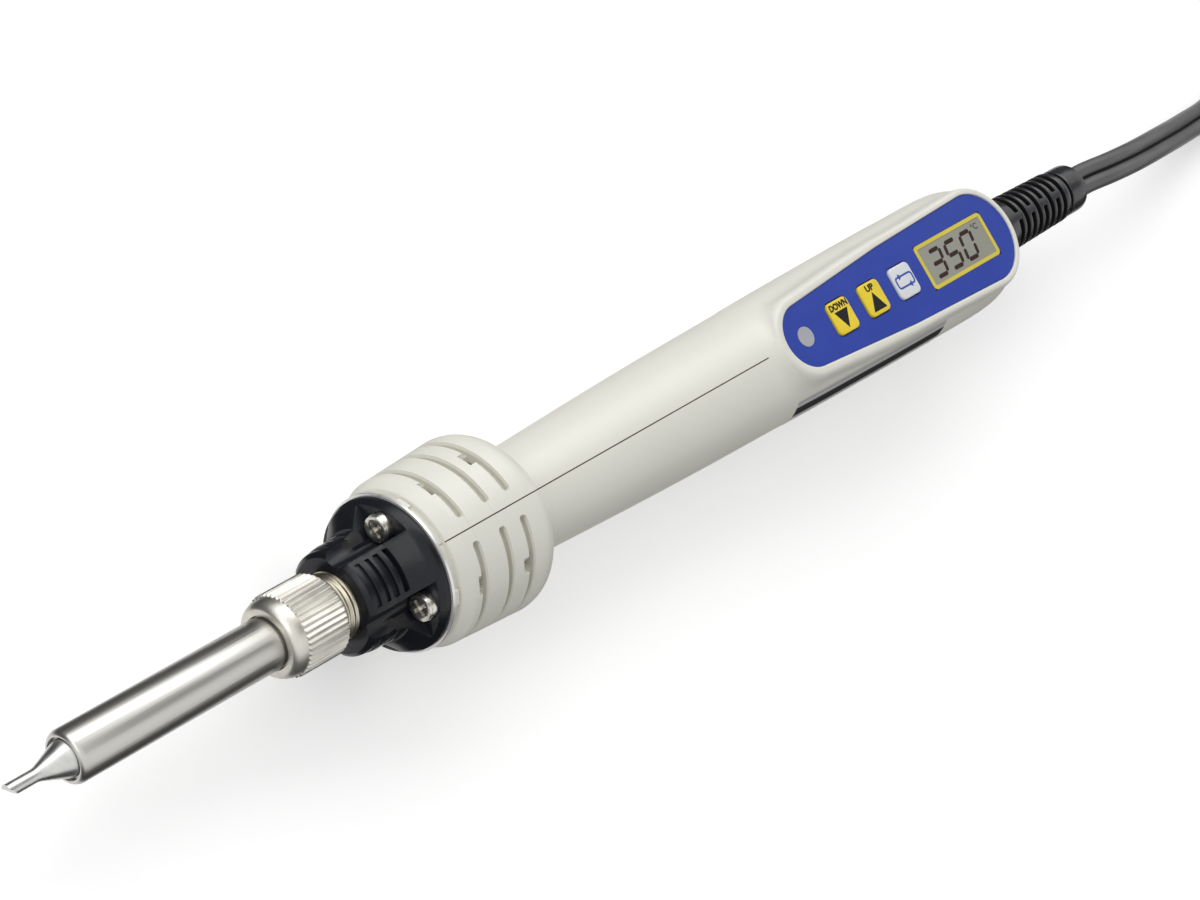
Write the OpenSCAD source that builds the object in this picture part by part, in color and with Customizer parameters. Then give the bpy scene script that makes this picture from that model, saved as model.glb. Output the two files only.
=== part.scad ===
// Hand-held temperature-controlled soldering iron with its display and keys in the handle.
// Iron coordinates run along X from the working point, with the turned parts' axis at z = 0.
// The whole iron is then centred on X and raised until its collar rests on z = 0.

/* [Tip] */
// Radius of the thin shank of the tip
tip_shank_r = 1.05; // [0.8:0.05:1.3]
// Slant of the working face from the axis, degrees
tip_face_angle = 45; // [35:5:60]
// Largest radius of the cone that shows in front of the barrel
tip_cone_r = 3; // [2.6:0.1:3.1]

/* [Barrel] */
// Length of barrel between its front rim and the nut
barrel_show = 40; // [30:1:50]
// Outer radius of the barrel tube
barrel_r = 4.25; // [4.15:0.01:4.3]
// Wall thickness of the barrel tube
barrel_wall = 0.4; // [0.3:0.05:0.4]

/* [Nut] */
// Length of the nut
nut_length = 11; // [10.5:0.1:12]
// Radius over the nut's knurling
nut_r = 6.78; // [6.6:0.02:7.2]
// Number of teeth in the knurling
nut_teeth = 44; // [24:1:48]
// Length of thread that shows behind the nut
thread_show = 2.9; // [2.5:0.1:4]

/* [Nose] */
// Radius of the nose flange
nose_flange_r = 12.7; // [12.5:0.1:13]
// Radius of the nose's ribbed front part
nose_front_r = 8.9; // [8.7:0.05:9.1]
// Radius of the light plate behind the nose
plate_r = 13.1; // [12.9:0.1:13.6]
// Thickness of the light plate behind the nose
plate_t = 0.5; // [0.3:0.1:0.8]
// Radius at which the four nose screws sit
screw_circle_r = 9.6; // [9.5:0.05:9.7]

/* [Handle] */
// Largest radius of the collar
collar_r = 15; // [14.8:0.1:15.6]
// Radius of the neck just behind the collar
neck_r = 9.15; // [9:0.05:9.4]
// Radius of the handle near its rear end
grip_r = 11.65; // [11.5:0.05:12]
// Length of the handle behind the light plate
handle_length = 155.7; // [140:0.1:175]
// Wall thickness of the handle shell
shell_wall = 1.8; // [1.6:0.1:1.9]
// Width of the vent slots
vent_w = 1.15; // [0.8:0.05:1.25]

/* [Panel] */
// Height of the panel's rim above the axis
panel_z = 12; // [11.9:0.05:12.4]
// Radius of the panel film's front end
film_front_r = 5.8; // [5.5:0.1:6]
// Radius of the panel film's rear end
film_rear_r = 8.4; // [8.2:0.1:8.6]
// Key size along the handle
key_l = 5.6; // [5:0.1:6]
// Key size across the handle
key_w = 6; // [5.4:0.1:6.4]
// Distance between neighbouring keys
key_pitch = 9; // [8.6:0.1:9.2]
// Travel of a key
key_travel = 0.3; // [0.2:0.05:0.35]
// Length of the display window
window_l = 20.2; // [19:0.1:20.6]
// Width of the display window
window_w = 8.5; // [8:0.1:8.8]
// Radius of the lamp window
lamp_r = 1.8; // [1.5:0.1:2]

/* [Rear] */
// Length of the strain relief behind the handle
relief_length = 31.6; // [31:0.1:34]
// Radius of the strain relief at its end ring
relief_end_r = 4.5; // [4.3:0.05:4.8]
// Width of a slot in the strain relief
relief_slot_w = 1.2; // [0.9:0.05:1.3]

/* [Plug] */
// Length of the plug body
plug_l = 22; // [20:1:24]
// Distance between the plug's blades
blade_pitch = 12.7; // [12:0.1:13]

/* [Hidden] */
$fn = 48;
eps = 0.01;
fit = 0.08;
gap = 0.2;
seat = 0.1;

// stations along the iron
rim_x = 10.4;
nut_x = rim_x + barrel_show;
nut_end = nut_x + nut_length;
nose_x = nut_end + thread_show;
nose_l = 12.5;
flange_x = nose_x + nose_l;
shell_x = flange_x + plate_t;
shell_end = shell_x + handle_length;
total = shell_end + relief_length;

// heater, ferrule and nut
heater_r = 2;
sleeve_r = 2.3;
sleeve_wall = 0.4;
thread_r = 5.6;
thread_pitch = 1;
thread_depth = 0.35;
nut_shoulder = nut_x + 5.9;
nut_cavity_r = thread_r + 0.1;
barrel_flange_r = 5.3;
barrel_flange_t = 1;
barrel_bore = barrel_r - barrel_wall;
barrel_neck_r = barrel_r - 0.2;
barrel_end = nut_shoulder + gap + barrel_flange_t;
ferrule_x = barrel_end + seat;
seat_r = 6.4;
seat_x = nose_x + 4.2;
bush_x = seat_x + 2;
heater_x = 14.6;
heater_end = flange_x - 3;

// screws
screw_r = 1.3;
screw_hole_r = 1.35;
screw_head_r = 2.25;
screw_at = screw_circle_r / sqrt(2);
pocket_x = nose_x + 10.6;
screw_l = 10;

// handle
wall_front = 2.7;
wall_rear = 1.8;
cable_hole_r = 5;
peak_x = shell_x + 18.5;
round_r = 5.2;
blend_r = 3.5;
blend_z = neck_r + blend_r;
round_z = collar_r - round_r;
blend_dx = sqrt(pow(round_r + blend_r, 2) - pow(blend_z - round_z, 2));
blend_a = acos((blend_z - round_z) / (round_r + blend_r));
relief_hole_r = 5.6;
seam_w = 0.2;
seam_d = 0.3;

// panel, set out from the handle's rear end
panel_x = shell_end - 62.2;
panel_mid = panel_x + 25.35;
panel_rear = panel_x + 50.7;
film_mid_r = (film_front_r + film_rear_r) / 2 + 0.45;
film_t = 0.3;
film_z = panel_z - 0.6;
plate_under = panel_z - 1.8;
lamp_x = shell_end - 63;
keys_x = shell_end - 52.8;
window_x = shell_end - 18.5;
key_rise = 0.5;
key_flange = 0.5;
board_z = panel_z - 6.5;
board_t = 1.6;
board_w = 14;
board_x = shell_end - 67;
lead_bend_x = board_x - 14.7;
board_end = shell_end - 5.5;
under = board_z - board_t;
key_under = plate_under - gap - key_flange - 0.1;
switch_h = 3.1;
plunger_r = 1.6;

// side label
label_x = shell_end - 66.8;
label_l = 43.4;
label_right_from = 55;
label_right_to = 101.5;
label_left_from = 84;
label_left_to = 126;
label_t = 0.3;
label_deep = 0.35;
side_screw_x = [shell_end - 61, shell_end - 28.7];
side_screw_z = -1.2;
screw_seat_y = 3.65 - grip_r;
side_screw_l = 13;

// rear
relief_slots = 8;
relief_slot_x = shell_end + 9;
relief_pitch = 2.1;
relief_core_r = 3.7;
clamp_x = shell_end - 11.7;
clamp_l = 6;
clamp_screw_y = 5.4;

// cord
cord_w = 6;
cord_t = 3;
core_r = cord_t / 2;
rest_z = collar_r;
twin = [[3, 0], [2.56, 1.06], [1.5, 1.5], [0, 1.1], [-1.5, 1.5], [-2.56, 1.06], [-3, 0],
        [-2.56, -1.06], [-1.5, -1.5], [0, -1.1], [1.5, -1.5], [2.56, -1.06]];
lozenge = [[3, 0], [1.7, 1.5], [-1.7, 1.5], [-3, 0], [-1.7, -1.5], [1.7, -1.5]];

// cord route from the relief to the hank: x, y, z, and the turn of its width from level
lead_route = [[0, 0, 0, 0], [6, 0, 0, 0], [14, -0.6, 0, 0], [23, -1, -0.8, 0], [32, -1.1, -2.8, 0],
              [40, -1.1, -5.1, 0], [48, -1.1, -7.6, 0], [56, -1, -9.7, 4], [64, -0.8, -11.1, 14],
              [72, 0.2, -11.8, 30], [80, 2.9, -12, 50], [88, 6.4, -12, 68], [96, 10, -12, 82],
              [104, 12.7, -12, 90], [109, 13.6, -12, 90], [112, 13.74, -12, 90]];
// cord route from the hank to the plug, measured from the hank's end
tail_route = [[0, 0, 0, 90], [5, -0.5, 0, 90], [10, -1.9, -0.5, 80], [15, -3.8, -1.4, 56],
              [20, -5.9, -2.2, 28], [24, -7.2, -2.8, 10], [28, -8, -3, 0], [32, -8.2, -3, 0]];

// hank
hank_x = total / 2 + 112;
hank_half = 36;
hank_y = -10;
fold_r = 18;
waist_r = 10.5;
hank_step = 3.5;
waist_step = 1.1;
hank_low = 3;
hank_rise = 6.6;
hank_mid = 1.64;
hank_turns = 3.28;
hank_rings = 76;
run_share = 0.28;
half_share = 0.5;
tie_lift = 1.3;
tie_w = 4;
tie_t = 1;
tie_half = 20.9;
tie_top = 14.3;
hank_end_y = hank_y + fold_r + hank_mid * hank_step;
plug_x = hank_x + 2 * hank_half + 32;
plug_y = hank_end_y - 8.2;
plug_z = 6.5;
plug_w = 20;
plug_t = 13;
plug_neck = 7;
blade_l = 17;
blade_w = 6.3;
blade_t = 1.5;

module place() {
    translate([-total / 2, 0, rest_z])
        children();
}

// solid of revolution about the iron's axis from [x, radius] points
module turned(points) {
    rotate([0, 90, 0])
        rotate_extrude($fn = 96)
            polygon([for (p = points) [p[1], p[0]]]);
}

module rod(x0, x1, r) {
    translate([x0, 0, 0])
        rotate([0, 90, 0])
            cylinder(h = x1 - x0, r = r);
}

module tube(x0, x1, r, bore) {
    difference() {
        rod(x0, x1, r);
        rod(x0 - 1, x1 + 1, bore);
    }
}

module block(x0, x1, y0, y1, z0, z1) {
    translate([x0, y0, z0])
        cube([x1 - x0, y1 - y0, z1 - z0]);
}

module four_screw_places() {
    for (y = [-1, 1])
        for (z = [-1, 1])
            translate([0, y * screw_at, z * screw_at])
                children();
}

module round_block(l, w, r, h) {
    for (x = [-1, 1])
        for (y = [-1, 1])
            translate([x * (l / 2 - r), y * (w / 2 - r), 0])
                cylinder(h = h, r = r, $fn = 24);
    translate([-l / 2 + r, -w / 2, 0])
        cube([l - 2 * r, w, h]);
    translate([-l / 2, -w / 2 + r, 0])
        cube([l, w - 2 * r, h]);
}

// tip, a sleeve over the heater with a cone, a shank and a slanted working face
module solder_tip() {
    sleeve_r = barrel_bore - gap;
    sleeve_end = barrel_end - gap;
    color("silver")
        place()
            difference() {
                turned([[0, 0], [0, tip_shank_r], [5, tip_shank_r], [5.6, 1.15], [7, 1.65], [9, 2.4],
                        [10.6, tip_cone_r], [11.2, tip_cone_r], [11.2, sleeve_r], [sleeve_end, sleeve_r],
                        [sleeve_end, heater_r + seat], [13.4, heater_r + seat], [12.6, 0]]);
                translate([0, 0.45, 0])
                    rotate([20, 0, 0])
                        rotate([0, 0, 90 - tip_face_angle])
                            translate([-5, -10, -5])
                                cube([5, 20, 10]);
            }
}

module barrel() {
    color("gainsboro")
        place()
            turned([[rim_x, 3.35], [rim_x, 3.6], [rim_x + 0.3, 4], [rim_x + 1, barrel_r],
                    [nut_x - 0.5, barrel_r], [nut_x - 0.5, barrel_neck_r], [nut_x + 0.5, barrel_neck_r],
                    [nut_x + 0.5, barrel_r], [barrel_end - barrel_flange_t, barrel_r],
                    [barrel_end - barrel_flange_t, barrel_flange_r], [barrel_end, barrel_flange_r],
                    [barrel_end, barrel_bore], [rim_x + 0.6, barrel_bore], [rim_x + 0.6, 3.35]]);
}

// outline of the knurling, two points a tooth
module knurl(r, depth, length) {
    linear_extrude(length)
        polygon([for (i = [0 : 2 * nut_teeth - 1])
                 let (q = (i % 2 == 0) ? r : r - depth, a = i * 180 / nut_teeth) [q * cos(a), q * sin(a)]]);
}

module cap_nut() {
    color("silver")
        place()
            difference() {
                union() {
                    intersection() {
                        turned([[nut_x + 2.4, 0], [nut_x + 2.4, nut_r - 0.35], [nut_x + 2.9, nut_r],
                                [nut_end - 0.5, nut_r], [nut_end, nut_r - 0.45], [nut_end, 0]]);
                        translate([nut_x, 0, 0])
                            rotate([0, 90, 0])
                                knurl(nut_r + 0.05, 0.35, nut_length);
                    }
                    turned([[nut_x, 0], [nut_x, nut_r - 1.8], [nut_x + 0.5, nut_r - 0.95],
                            [nut_x + 1.2, nut_r - 0.35], [nut_x + 2, nut_r - 0.1],
                            [nut_x + 2.3, nut_r - 0.35], [nut_x + 2.8, nut_r - 0.35], [nut_x + 2.8, 0]]);
                }
                rod(nut_x - 1, nut_shoulder + 1, barrel_r + fit);
                rod(nut_shoulder, nut_end + 1, nut_cavity_r);
            }
}

// threaded ferrule with a seat flange that the nose holds
module ferrule() {
    turns = floor((nose_x - ferrule_x - 0.8) / thread_pitch);
    color("darkkhaki")
        place()
            difference() {
                turned(concat([[ferrule_x, 0], [ferrule_x, thread_r - thread_depth]],
                              [for (i = [0 : turns - 1])
                               for (q = [[0.1, 0], [0.4, 1], [0.6, 1], [0.9, 0]])
                                   [ferrule_x + 0.2 + (i + q[0]) * thread_pitch,
                                    thread_r - thread_depth * (1 - q[1])]],
                              [[nose_x, thread_r - thread_depth], [nose_x, thread_r], [seat_x, thread_r],
                               [seat_x, seat_r], [bush_x, seat_r], [bush_x, 0]]));
                rod(ferrule_x - 1, bush_x + 1, heater_r + 1);
            }
}

module ceramic_heater() {
    color("white")
        place()
            rod(heater_x, heater_end, heater_r);
}

module heater_bush() {
    color("ivory")
        place()
            tube(bush_x, flange_x, seat_r, heater_r + 0.05);
}

// round wire along a route of points
module wire_route(points, r) {
    swept_tube(route_frames([for (p = points) [p[0], p[1], p[2], 0]]),
               [for (i = [0 : 9]) [r * cos(36 * i), r * sin(36 * i)]]);
}

module heater_leads() {
    lead_r = 0.45;
    lead_z = under - lead_r;
    color("tan")
        place()
            for (i = [0 : 3])
                let (y = (i % 2 == 0) ? -0.8 : 0.8, z = (i < 2) ? -0.8 : 0.8, far = -4.5 + 3 * i)
                    wire_route([[heater_end, y, z], [lead_bend_x, y, z],
                                [board_x + 2, far, lead_z], [board_x + 6, far, lead_z]], lead_r);
}

module lead_sleeve() {
    color("white")
        place()
            tube(flange_x + 3, lead_bend_x - 2, sleeve_r, sleeve_r - sleeve_wall);
}

// black nose, lobed in front, with a flange that carries four screws
module nose_flange() {
    lobe_y = 4.4;
    lobe_z = 3.8;
    core_r = 7.2;
    channel_r = screw_head_r + 0.25;
    color("dimgray")
        place()
            difference() {
                turned([[nose_x, 0], [nose_x, 7.8], [nose_x + 0.6, 8.5], [nose_x + 3.2, nose_front_r],
                        [nose_x + 5.2, nose_front_r - 0.2], [nose_x + 7.5, nose_front_r + 0.3],
                        [nose_x + 9.3, nose_flange_r - 1.7], [nose_x + 10, nose_flange_r - 0.9],
                        [nose_x + 11.5, nose_flange_r - 0.1], [flange_x, nose_flange_r], [flange_x, 0]]);
                rod(nose_x - 1, flange_x + 1, thread_r + 0.05);
                rod(seat_x, flange_x + 1, seat_r + 0.05);
                difference() {
                    for (y = [-1, 1])
                        for (z = [-1, 1])
                            scale([1, y, z])
                                block(nose_x + 5.2, pocket_x, lobe_y, 14, lobe_z, 14);
                    rod(nose_x, flange_x, core_r);
                }
                four_screw_places() {
                    rod(nose_x - 1, pocket_x, channel_r);
                    rod(nose_x, flange_x + 1, screw_hole_r);
                }
                for (x = [1.7, 3.6, 5.5, 7.2])
                    for (a = [0 : 90 : 270])
                        rotate([a, 0, 0])
                            difference() {
                                block(nose_x + x - 0.45, nose_x + x + 0.45, -3.6, 3.6, 6, 14);
                                rod(nose_x, flange_x, nose_front_r - 0.6);
                            }
            }
}

module cross_screw(length) {
    difference() {
        union() {
            rod(-1.7, -0.5, screw_head_r - 0.1);
            rod(-1.2, 0, screw_head_r);
            rod(-0.1, length, screw_r);
        }
        block(-2, -0.8, -1.4, 1.4, -0.3, 0.3);
        block(-2, -0.8, -0.3, 0.3, -1.4, 1.4);
    }
}

module flange_screws() {
    color("lightgray")
        place()
            four_screw_places()
                translate([pocket_x, 0, 0])
                    cross_screw(screw_l);
}

module heat_plate() {
    color("whitesmoke")
        place()
            difference() {
                tube(flange_x, shell_x, plate_r, cable_hole_r);
                four_screw_places()
                    rod(flange_x - 1, shell_x + 1, screw_hole_r);
            }
}

// grip from the neck to the rear, [x, radius]
taper_x = shell_x + 26.7;
taper_l = shell_end - 70 - taper_x;
grip_line = [[taper_x + 0.22 * taper_l, neck_r + 0.45], [taper_x + 0.44 * taper_l, neck_r + 0.95],
             [taper_x + 0.69 * taper_l, neck_r + 1.45], [shell_end - 70, neck_r + 1.75],
             [shell_end - 58, grip_r - 0.45], [shell_end - 38, grip_r - 0.15], [shell_end - 18, grip_r],
             [shell_end - 9, grip_r], [shell_end - 5, grip_r - 0.35]];

// outer profile of the handle, [x, radius], drawn in by d for its inner skins
function handle_line(d) = concat(
    [[peak_x, collar_r - d]],
    [for (a = [10 : 10 : 60]) [peak_x + (round_r - d) * sin(a), round_z + (round_r - d) * cos(a)]],
    [for (k = [8 : -1 : 0])
        let (a = blend_a * k / 8)
            [peak_x + blend_dx - (blend_r + d) * sin(a), blend_z - (blend_r + d) * cos(a)]],
    [for (q = grip_line) [q[0], q[1] - d]]);

function handle_outside(d) = concat(
    [[shell_x + 1.5, 0], [shell_x + 1.5, collar_r - 2 - d], [shell_x + 2.3, collar_r - 1 - d],
     [shell_x + 6.7, collar_r - 0.65 - d], [shell_x + 14.7, collar_r - 0.2 - d]],
    handle_line(d),
    [[shell_end - 2.1, grip_r - 1.35 - d], [shell_end - 0.4, grip_r - 3.05 - d],
     [shell_end, grip_r - 4.15 - d], [shell_end, 0]]);

// outline of the panel film, spread outwards, from a small front arc to a large rear arc
function arc(x, r, a0, a1, n) =
    [for (i = [0 : n])
     let (a = a0 + (a1 - a0) * i / n)
     [x + r * cos(a), r * sin(a)]];
function outline(spread) =
    let (front = 90 + asin((film_mid_r - film_front_r) / (panel_mid - panel_x)),
         rear = 90 + asin((film_rear_r - film_mid_r) / (panel_rear - panel_mid)),
         mid_r = film_mid_r + spread)
        concat(arc(panel_rear, film_rear_r + spread, -rear, rear, 24),
               arc(panel_mid, mid_r, rear, front, 1),
               arc(panel_x, film_front_r + spread, front, 360 - front, 20),
               arc(panel_mid, mid_r, -front, -rear, 1));

module panel_prism(spread, low, high) {
    translate([0, 0, low])
        linear_extrude(high - low)
            polygon(outline(spread));
}

// solid through the panel outline at several [spread, height] levels
module panel_body(levels) {
    n = len(outline(0));
    top = len(levels) - 1;
    polyhedron(points = [for (q = levels) for (p = outline(q[0])) [p[0], p[1], q[1]]],
               faces = concat(
                   [[for (i = [0 : n - 1]) i]],
                   [[for (i = [n - 1 : -1 : 0]) top * n + i]],
                   [for (k = [0 : top - 1]) for (i = [0 : n - 1])
                       let (j = (i + 1) % n) [k * n + i, (k + 1) * n + i, (k + 1) * n + j, k * n + j]]),
               convexity = 4);
}

module handle_outer_form(d) {
    turned(handle_outside(d));
    panel_body([[2.2 - d, 4], [2.2 - d, 8], [1.9 - d, panel_z - 0.8], [1.6 - d, panel_z - 0.35],
                [1.2 - d, panel_z - d]]);
}

// one vent: a groove in the collar and its two slots through the wall
module vent_grooves() {
    for (v = [[5.7, 2], [11.3, 1.6], [15.8, 1.4]])
        let (x = shell_x + v[0])
            difference() {
                tube(x - vent_w / 2, x + vent_w / 2, collar_r + 1, collar_r - v[1]);
                for (a = [0, 180])
                    rotate([a, 0, 0])
                        block(x - 1, x + 1, -2.3, 2.3, 5, 17);
            }
    for (v = [[4.4, 35], [17.1, 38]])
        for (a = [v[1], -v[1], 180 - v[1], v[1] - 180])
            rotate([a, 0, 0])
                block(shell_x + v[0] - 0.9, shell_x + v[0] + 0.9, -1.2, 1.2, 11, 17);
}

module handle_hollow() {
    turned(concat([[shell_x + wall_front, 0], [shell_x + wall_front, collar_r - 2.7],
                   [shell_x + 6.7, collar_r - 0.65 - shell_wall],
                   [shell_x + 14.7, collar_r - 0.2 - shell_wall]],
                  handle_line(shell_wall),
                  [[shell_end - wall_rear - 0.6, grip_r - 1.7 - shell_wall],
                   [shell_end - wall_rear, grip_r - 2.8 - shell_wall], [shell_end - wall_rear, 0]]));
    panel_prism(0.5, 4.2, plate_under);
}

module panel_holes(extra) {
    for (i = [0 : 2])
        translate([keys_x + i * key_pitch, 0, plate_under - 1])
            round_block(key_l + 2 * extra + 2 * gap, key_w + 2 * extra + 2 * gap, 1 + gap, 4);
    translate([window_x, 0, plate_under + 1])
        cube([window_l + 0.1, window_w + 0.1, 4], center = true);
    translate([lamp_x, 0, plate_under - 1])
        cylinder(h = 4, r = lamp_r + 0.05, $fn = 24);
}

// everything inside the shell that is moulded with it, cut later at the seam
module handle_ribs() {
    intersection() {
        union() {
            four_screw_places()
                rod(shell_x + 2, shell_x + 10.5, 2.9);
            for (x = [board_x + 9, board_x + 36.5, board_x + 57])
                for (y = [-1, 1])
                    scale([1, y, 1])
                        block(x, x + 1.5, 5.8, 11, under - 1.2, under);
            for (x = side_screw_x)
                translate([x, -11, side_screw_z])
                    rotate([-90, 0, 0])
                        cylinder(h = 22, r = 3, $fn = 32);
            block(clamp_x, clamp_x + clamp_l, -11, 11, core_r, core_r + 1.2);
        }
        turned(handle_outside(1));
    }
}

// strip under the handle's surface over the label's length, from depth deep to depth top
module label_strip(deep, top, inset) {
    xs = concat([label_x + inset],
                [for (q = grip_line) if (q[0] > label_x + 1 && q[0] < label_x + label_l - 1) q[0]],
                [label_x + label_l - inset]);
    n = len(xs) - 1;
    turned(concat([for (x = xs) [x, lookup(x, grip_line) - top]],
                  [for (i = [n : -1 : 0]) [xs[i], lookup(xs[i], grip_line) - deep]]));
}

// the part of the strip on side s that lies between that side's two label angles
module label_sector(s, deep, top, inset, turn) {
    from = (s > 0) ? label_left_from : label_right_from;
    to = (s > 0) ? label_left_to : label_right_to;
    difference() {
        label_strip(deep, top, inset);
        rotate([-s * (from + turn), 0, 0])
            block(label_x - 1, label_x + label_l + 1, -20 * (1 + s), 20 * (1 - s), -20, 20);
        rotate([-s * (to - turn), 0, 0])
            block(label_x - 1, label_x + label_l + 1, -20 * (1 - s), 20 * (1 + s), -20, 20);
    }
}

module label_recess() {
    for (s = [-1, 1])
        label_sector(s, label_deep, -1, 0, 0);
}

module shell() {
    difference() {
        union() {
            difference() {
                union() {
                    handle_outer_form(0);
                    rod(shell_x, shell_x + 2, 12.2);
                }
                handle_hollow();
            }
            handle_ribs();
        }
        rod(shell_x - 1, shell_x + wall_front + 1, cable_hole_r);
        rod(shell_end - wall_rear - 1, shell_end + 1, relief_hole_r);
        four_screw_places()
            rod(shell_x - 1, shell_x + 11, screw_hole_r);
        vent_grooves();
        label_recess();
        panel_prism(0, film_z, panel_z + 1);
        panel_holes(0);
        for (y = [-1, 1])
            translate([clamp_x + clamp_l / 2, y * clamp_screw_y, core_r - 1])
                cylinder(h = 4, r = 1.05, $fn = 24);
        for (x = side_screw_x) {
            translate([x, -12, side_screw_z])
                rotate([-90, 0, 0])
                    cylinder(h = 20, r = screw_hole_r, $fn = 24);
            translate([x, screw_seat_y - 4, side_screw_z])
                rotate([-90, 0, 0])
                    cylinder(h = 4, r = screw_head_r + 0.2, $fn = 24);
        }
        difference() {
            block(shell_x - 1, shell_end + 1, -seam_w / 2, seam_w / 2, -17, 17);
            handle_outer_form(seam_d);
        }
    }
}

module half(side) {
    intersection() {
        shell();
        scale([1, side, 1])
            block(shell_x - 1, shell_end + 1, 0, 20, -20, 20);
    }
}

module handle_left() {
    color("linen")
        place()
            half(1);
}

module handle_right() {
    color("linen")
        place()
            half(-1);
}

module handle_screws() {
    color("lightgray")
        place()
            for (x = side_screw_x)
                translate([x, screw_seat_y, side_screw_z])
                    rotate([0, 0, 90])
                        cross_screw(side_screw_l);
}

module panel_overlay() {
    color("navy")
        place()
            difference() {
                panel_prism(-0.1, film_z, film_z + film_t);
                panel_holes(0);
            }
}

module lcd_window() {
    color("darkkhaki")
        place() {
            translate([window_x, 0, (plate_under + film_z + film_t) / 2])
                cube([window_l, window_w, film_z + film_t - plate_under], center = true);
            translate([window_x, 0, plate_under - 0.3])
                cube([window_l + 1.4, window_w + 1.4, 0.6], center = true);
        }
}

module led_lens() {
    color("gray")
        place()
            translate([lamp_x, 0, plate_under - 0.6]) {
                cylinder(h = film_z + film_t - plate_under + 0.65, r = lamp_r, $fn = 24);
                cylinder(h = 0.6, r = lamp_r + 0.5, $fn = 24);
            }
}

// one key cap with the flange that keeps it under the panel
module key(i) {
    place()
        translate([keys_x + i * key_pitch, 0, key_under]) {
            round_block(key_l, key_w, 1, film_z + film_t + key_rise - key_under);
            translate([0, 0, 0.1])
                round_block(key_l + 1.6, key_w + 1.6, 1.2, key_flange);
        }
}

module key_down() {
    color("gold")
        key(0);
}

module key_up() {
    color("gold")
        key(1);
}

module key_mode() {
    color("whitesmoke")
        key(2);
}

// plunger of a switch, it reaches from inside the switch up to the key
module plunger(i) {
    color("black")
        place()
            translate([keys_x + i * key_pitch, 0, board_z + switch_h - 1])
                cylinder(h = key_under - board_z - switch_h + 1, r = plunger_r, $fn = 24);
}

module plunger_down() {
    plunger(0);
}

module plunger_up() {
    plunger(1);
}

module plunger_mode() {
    plunger(2);
}

module tact_switches() {
    color("gray")
        place()
            for (i = [0 : 2])
                translate([keys_x + i * key_pitch, 0, board_z])
                    difference() {
                        translate([-3, -3, 0])
                            cube([6, 6, switch_h]);
                        translate([0, 0, switch_h - 1 - key_travel - gap])
                            cylinder(h = 3, r = plunger_r + fit, $fn = 24);
                    }
}

module lcd_module() {
    color("darkslategray")
        place()
            translate([window_x, 0, plate_under - 1.5])
                cube([window_l + 1.2, window_w + 2.4, 1.8], center = true);
}

module lcd_strips() {
    color("black")
        place()
            for (y = [-1, 1])
                translate([window_x, y * 4.2, (board_z + plate_under - 2.4) / 2])
                    cube([window_l - 1, 1.6, plate_under - 2.4 - board_z], center = true);
}

module status_led() {
    color("red")
        place()
            translate([lamp_x, 0, board_z]) {
                cylinder(h = 2.4, r = 1.5, $fn = 24);
                translate([0, 0, 2.4])
                    sphere(r = 1.5, $fn = 24);
            }
}

module control_board() {
    color("darkgreen")
        place()
            block(board_x, board_end, -board_w / 2, board_w / 2, under, board_z);
}

module microcontroller() {
    color("black")
        place()
            block(board_x + 20, board_x + 27, -3.5, 3.5, under - 1.2, under);
}

module triac() {
    color("black")
        place()
            block(board_x + 29, board_x + 34.5, -3.3, 3.3, under - 2.3, under);
}

module capacitor() {
    color("goldenrod")
        place()
            block(board_x + 10.6, board_x + 18, -6, -0.5, under - 4, under);
}

module fuse() {
    color("tan")
        place()
            translate([0, 3.5, under - 1.9])
                rod(board_x + 10.6, board_x + 19, 1.9);
}

// label plate let into the side of the handle
module label_plate(s) {
    color("lightgray")
        place()
            label_sector(s, label_deep - 0.02, label_deep - label_t, 0.1, 0.4);
}

module label_left() {
    label_plate(1);
}

module label_right() {
    label_plate(-1);
}

// the two insulated cores from the sheath's end to the board
module cord_cores() {
    wire_r = 0.9;
    color("saddlebrown")
        place()
            for (y = [-1.5, 1.5])
                wire_route([[clamp_x - 13, y, under - wire_r], [clamp_x - 10, y, under - wire_r],
                            [clamp_x - 5, y, 0], [clamp_x - 2, y, 0]], wire_r);
}

module twin_bar(x0, x1, r) {
    for (y = [-1, 1])
        translate([0, y * (cord_w / 2 - core_r), 0])
            rod(x0, x1, r);
    block(x0, x1, -cord_w / 2 + core_r, cord_w / 2 - core_r, -r + 0.4, r - 0.4);
}

module cord_inner() {
    color("black")
        place()
            twin_bar(clamp_x - 2, total, core_r);
}

module cord_clamp() {
    color("dimgray")
        place()
            difference() {
                block(clamp_x, clamp_x + clamp_l, -7.2, 7.2, -core_r - 2.2, -core_r);
                for (y = [-1, 1])
                    translate([clamp_x + clamp_l / 2, y * clamp_screw_y, -6])
                        cylinder(h = 8, r = 1.05, $fn = 24);
            }
}

module clamp_screws() {
    color("lightgray")
        place()
            for (y = [-1, 1])
                translate([clamp_x + clamp_l / 2, y * clamp_screw_y, -core_r - 2.2]) {
                    cylinder(h = 2 * core_r + 3.2, r = 1, $fn = 24);
                    translate([0, 0, -1.3])
                        cylinder(h = 1.3, r = 1.9, $fn = 24);
                }
}

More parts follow.
